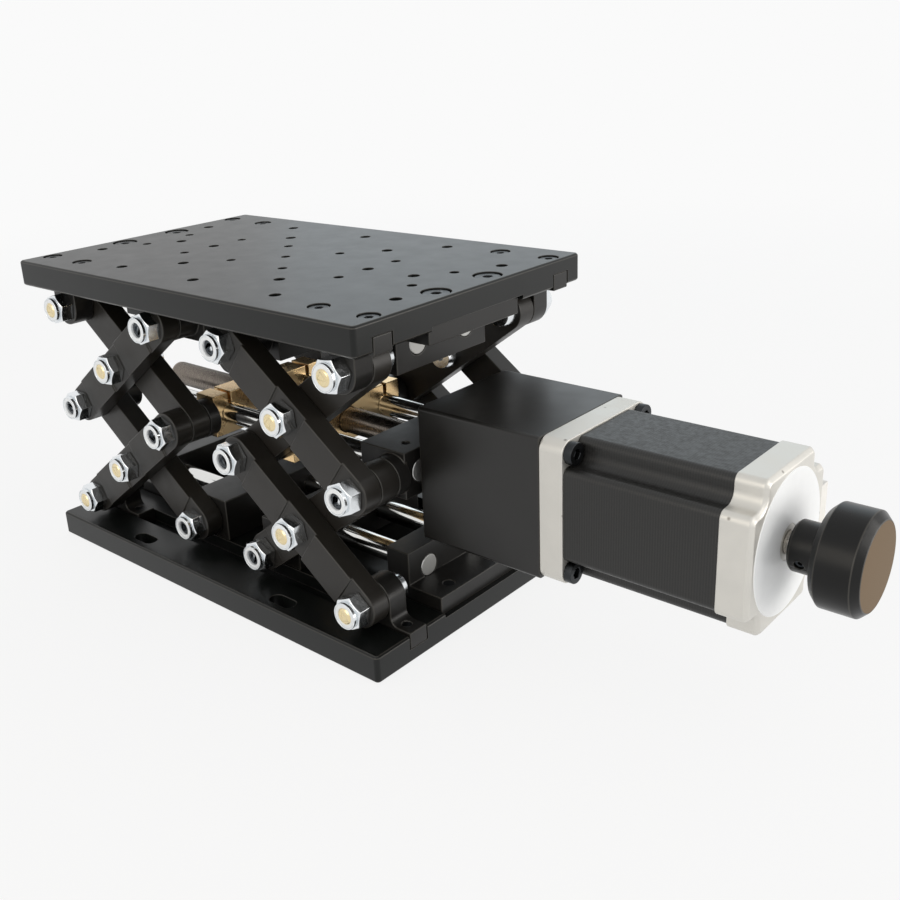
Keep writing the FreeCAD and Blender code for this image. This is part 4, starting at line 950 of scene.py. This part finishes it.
def make_floor():
    """A pale floor round the object that fades into the surroundings 1.2 m away."""
    form = bmesh.new()
    bmesh.ops.create_circle(form, cap_ends=True, segments=96, radius=FLOOR_RADIUS)
    mesh = bpy.data.meshes.new("floor")
    form.to_mesh(mesh)
    form.free()
    floor = bpy.data.objects.new("floor", mesh)
    bpy.context.scene.collection.objects.link(floor)
    made, tree, shader, place = new_material("floor_paper", Roughness=0.9)
    shader.inputs["Specular IOR Level"].default_value = 0.0
    grain = add(tree, "ShaderNodeTexNoise", "Fac", {"Vector": place, "Scale": PER_MM / 300})
    tint = add(tree, "ShaderNodeMix", 2, {
        "Factor": grain, 6: colour("#f8f8f8"), 7: colour("#fcfcfc")}, data_type="RGBA")
    tree.links.new(tint, shader.inputs["Base Color"])
    far = add(tree, "ShaderNodeVectorMath", "Value", {0: place}, operation="LENGTH")
    gone = add(tree, "ShaderNodeMapRange", "Result", {
        "Value": far, "From Min": FADE_START, "From Max": FADE_END},
        interpolation_type="SMOOTHSTEP")
    clear = add(tree, "ShaderNodeBsdfTransparent")
    glow = add(tree, "ShaderNodeEmission", 0, {"Color": colour("#fafafa"), "Strength": 1.0})
    share = add(tree, "ShaderNodeMath", 0, {0: seen_directly(tree), 1: FLOOR_GLOW},
                operation="MULTIPLY")
    paper = add(tree, "ShaderNodeMixShader", 0, {0: share, 1: shader.outputs["BSDF"], 2: glow})
    mixed = add(tree, "ShaderNodeMixShader", 0, {0: gone, 1: paper, 2: clear})
    tree.links.new(mixed, tree.nodes["Material Output"].inputs["Surface"])
    mesh.materials.append(made)


def light_world():
    """White surroundings, brighter where they are seen than where they light."""
    world = bpy.data.worlds.new("world")
    bpy.context.scene.world = world
    world.use_nodes = True
    tree = world.node_tree
    lit = tree.nodes["Background"]
    lit.inputs["Color"].default_value = colour("#ffffff")
    lit.inputs["Strength"].default_value = WORLD_LIGHT
    seen = add(tree, "ShaderNodeBackground", 0, {"Color": colour("#fafafa"), "Strength": 1.0})
    mixed = add(tree, "ShaderNodeMixShader", 0, {
        0: seen_directly(tree), 1: lit.outputs[0], 2: seen})
    tree.links.new(mixed, tree.nodes["World Output"].inputs["Surface"])


def soft_box(name, place, width, height, power, tint):
    """A rectangular lamp that points at the object's middle."""
    data = bpy.data.lights.new(name, "AREA")
    data.shape = "RECTANGLE"
    data.size, data.size_y = width, height
    data.energy = power
    data.color = colour(tint)[:3]
    lamp = bpy.data.objects.new(name, data)
    lamp.location = place
    aim = Vector(MIDDLE) - Vector(place)
    lamp.rotation_euler = aim.to_track_quat("-Z", "Y").to_euler()
    bpy.context.scene.collection.objects.link(lamp)


# The scene

make_camera()
make_floor()
light_world()
for lamp in LAMPS:
    soft_box(*lamp)

LOCK_NUT = lock_nut_tree()
SPACER = spacer_tree()
SOCKET_SCREW = socket_screw_tree()
LEAD_SCREW = lead_screw_tree()
all_pivot_fasteners()
all_plate_screws()
motor_screws()
rod_clamp_screws()
knob_set_screw()
lead_screw()
all_spacers()
inlet_pins()
blank_label()

# the nodes that the calls above replace; all the pivot fasteners are zinc plated
MADE_ABOVE = {"motor_flange_screws", "base_plate_screws", "top_plate_screws", "lead_screw",
              "middle_block_left"}
for node_name in nodes:
    if node_name not in MADE_ABOVE and slot_of[node_name] != "zinc_steel":
        dressed(node_name)

bpy.context.scene.view_settings.view_transform = "Standard"
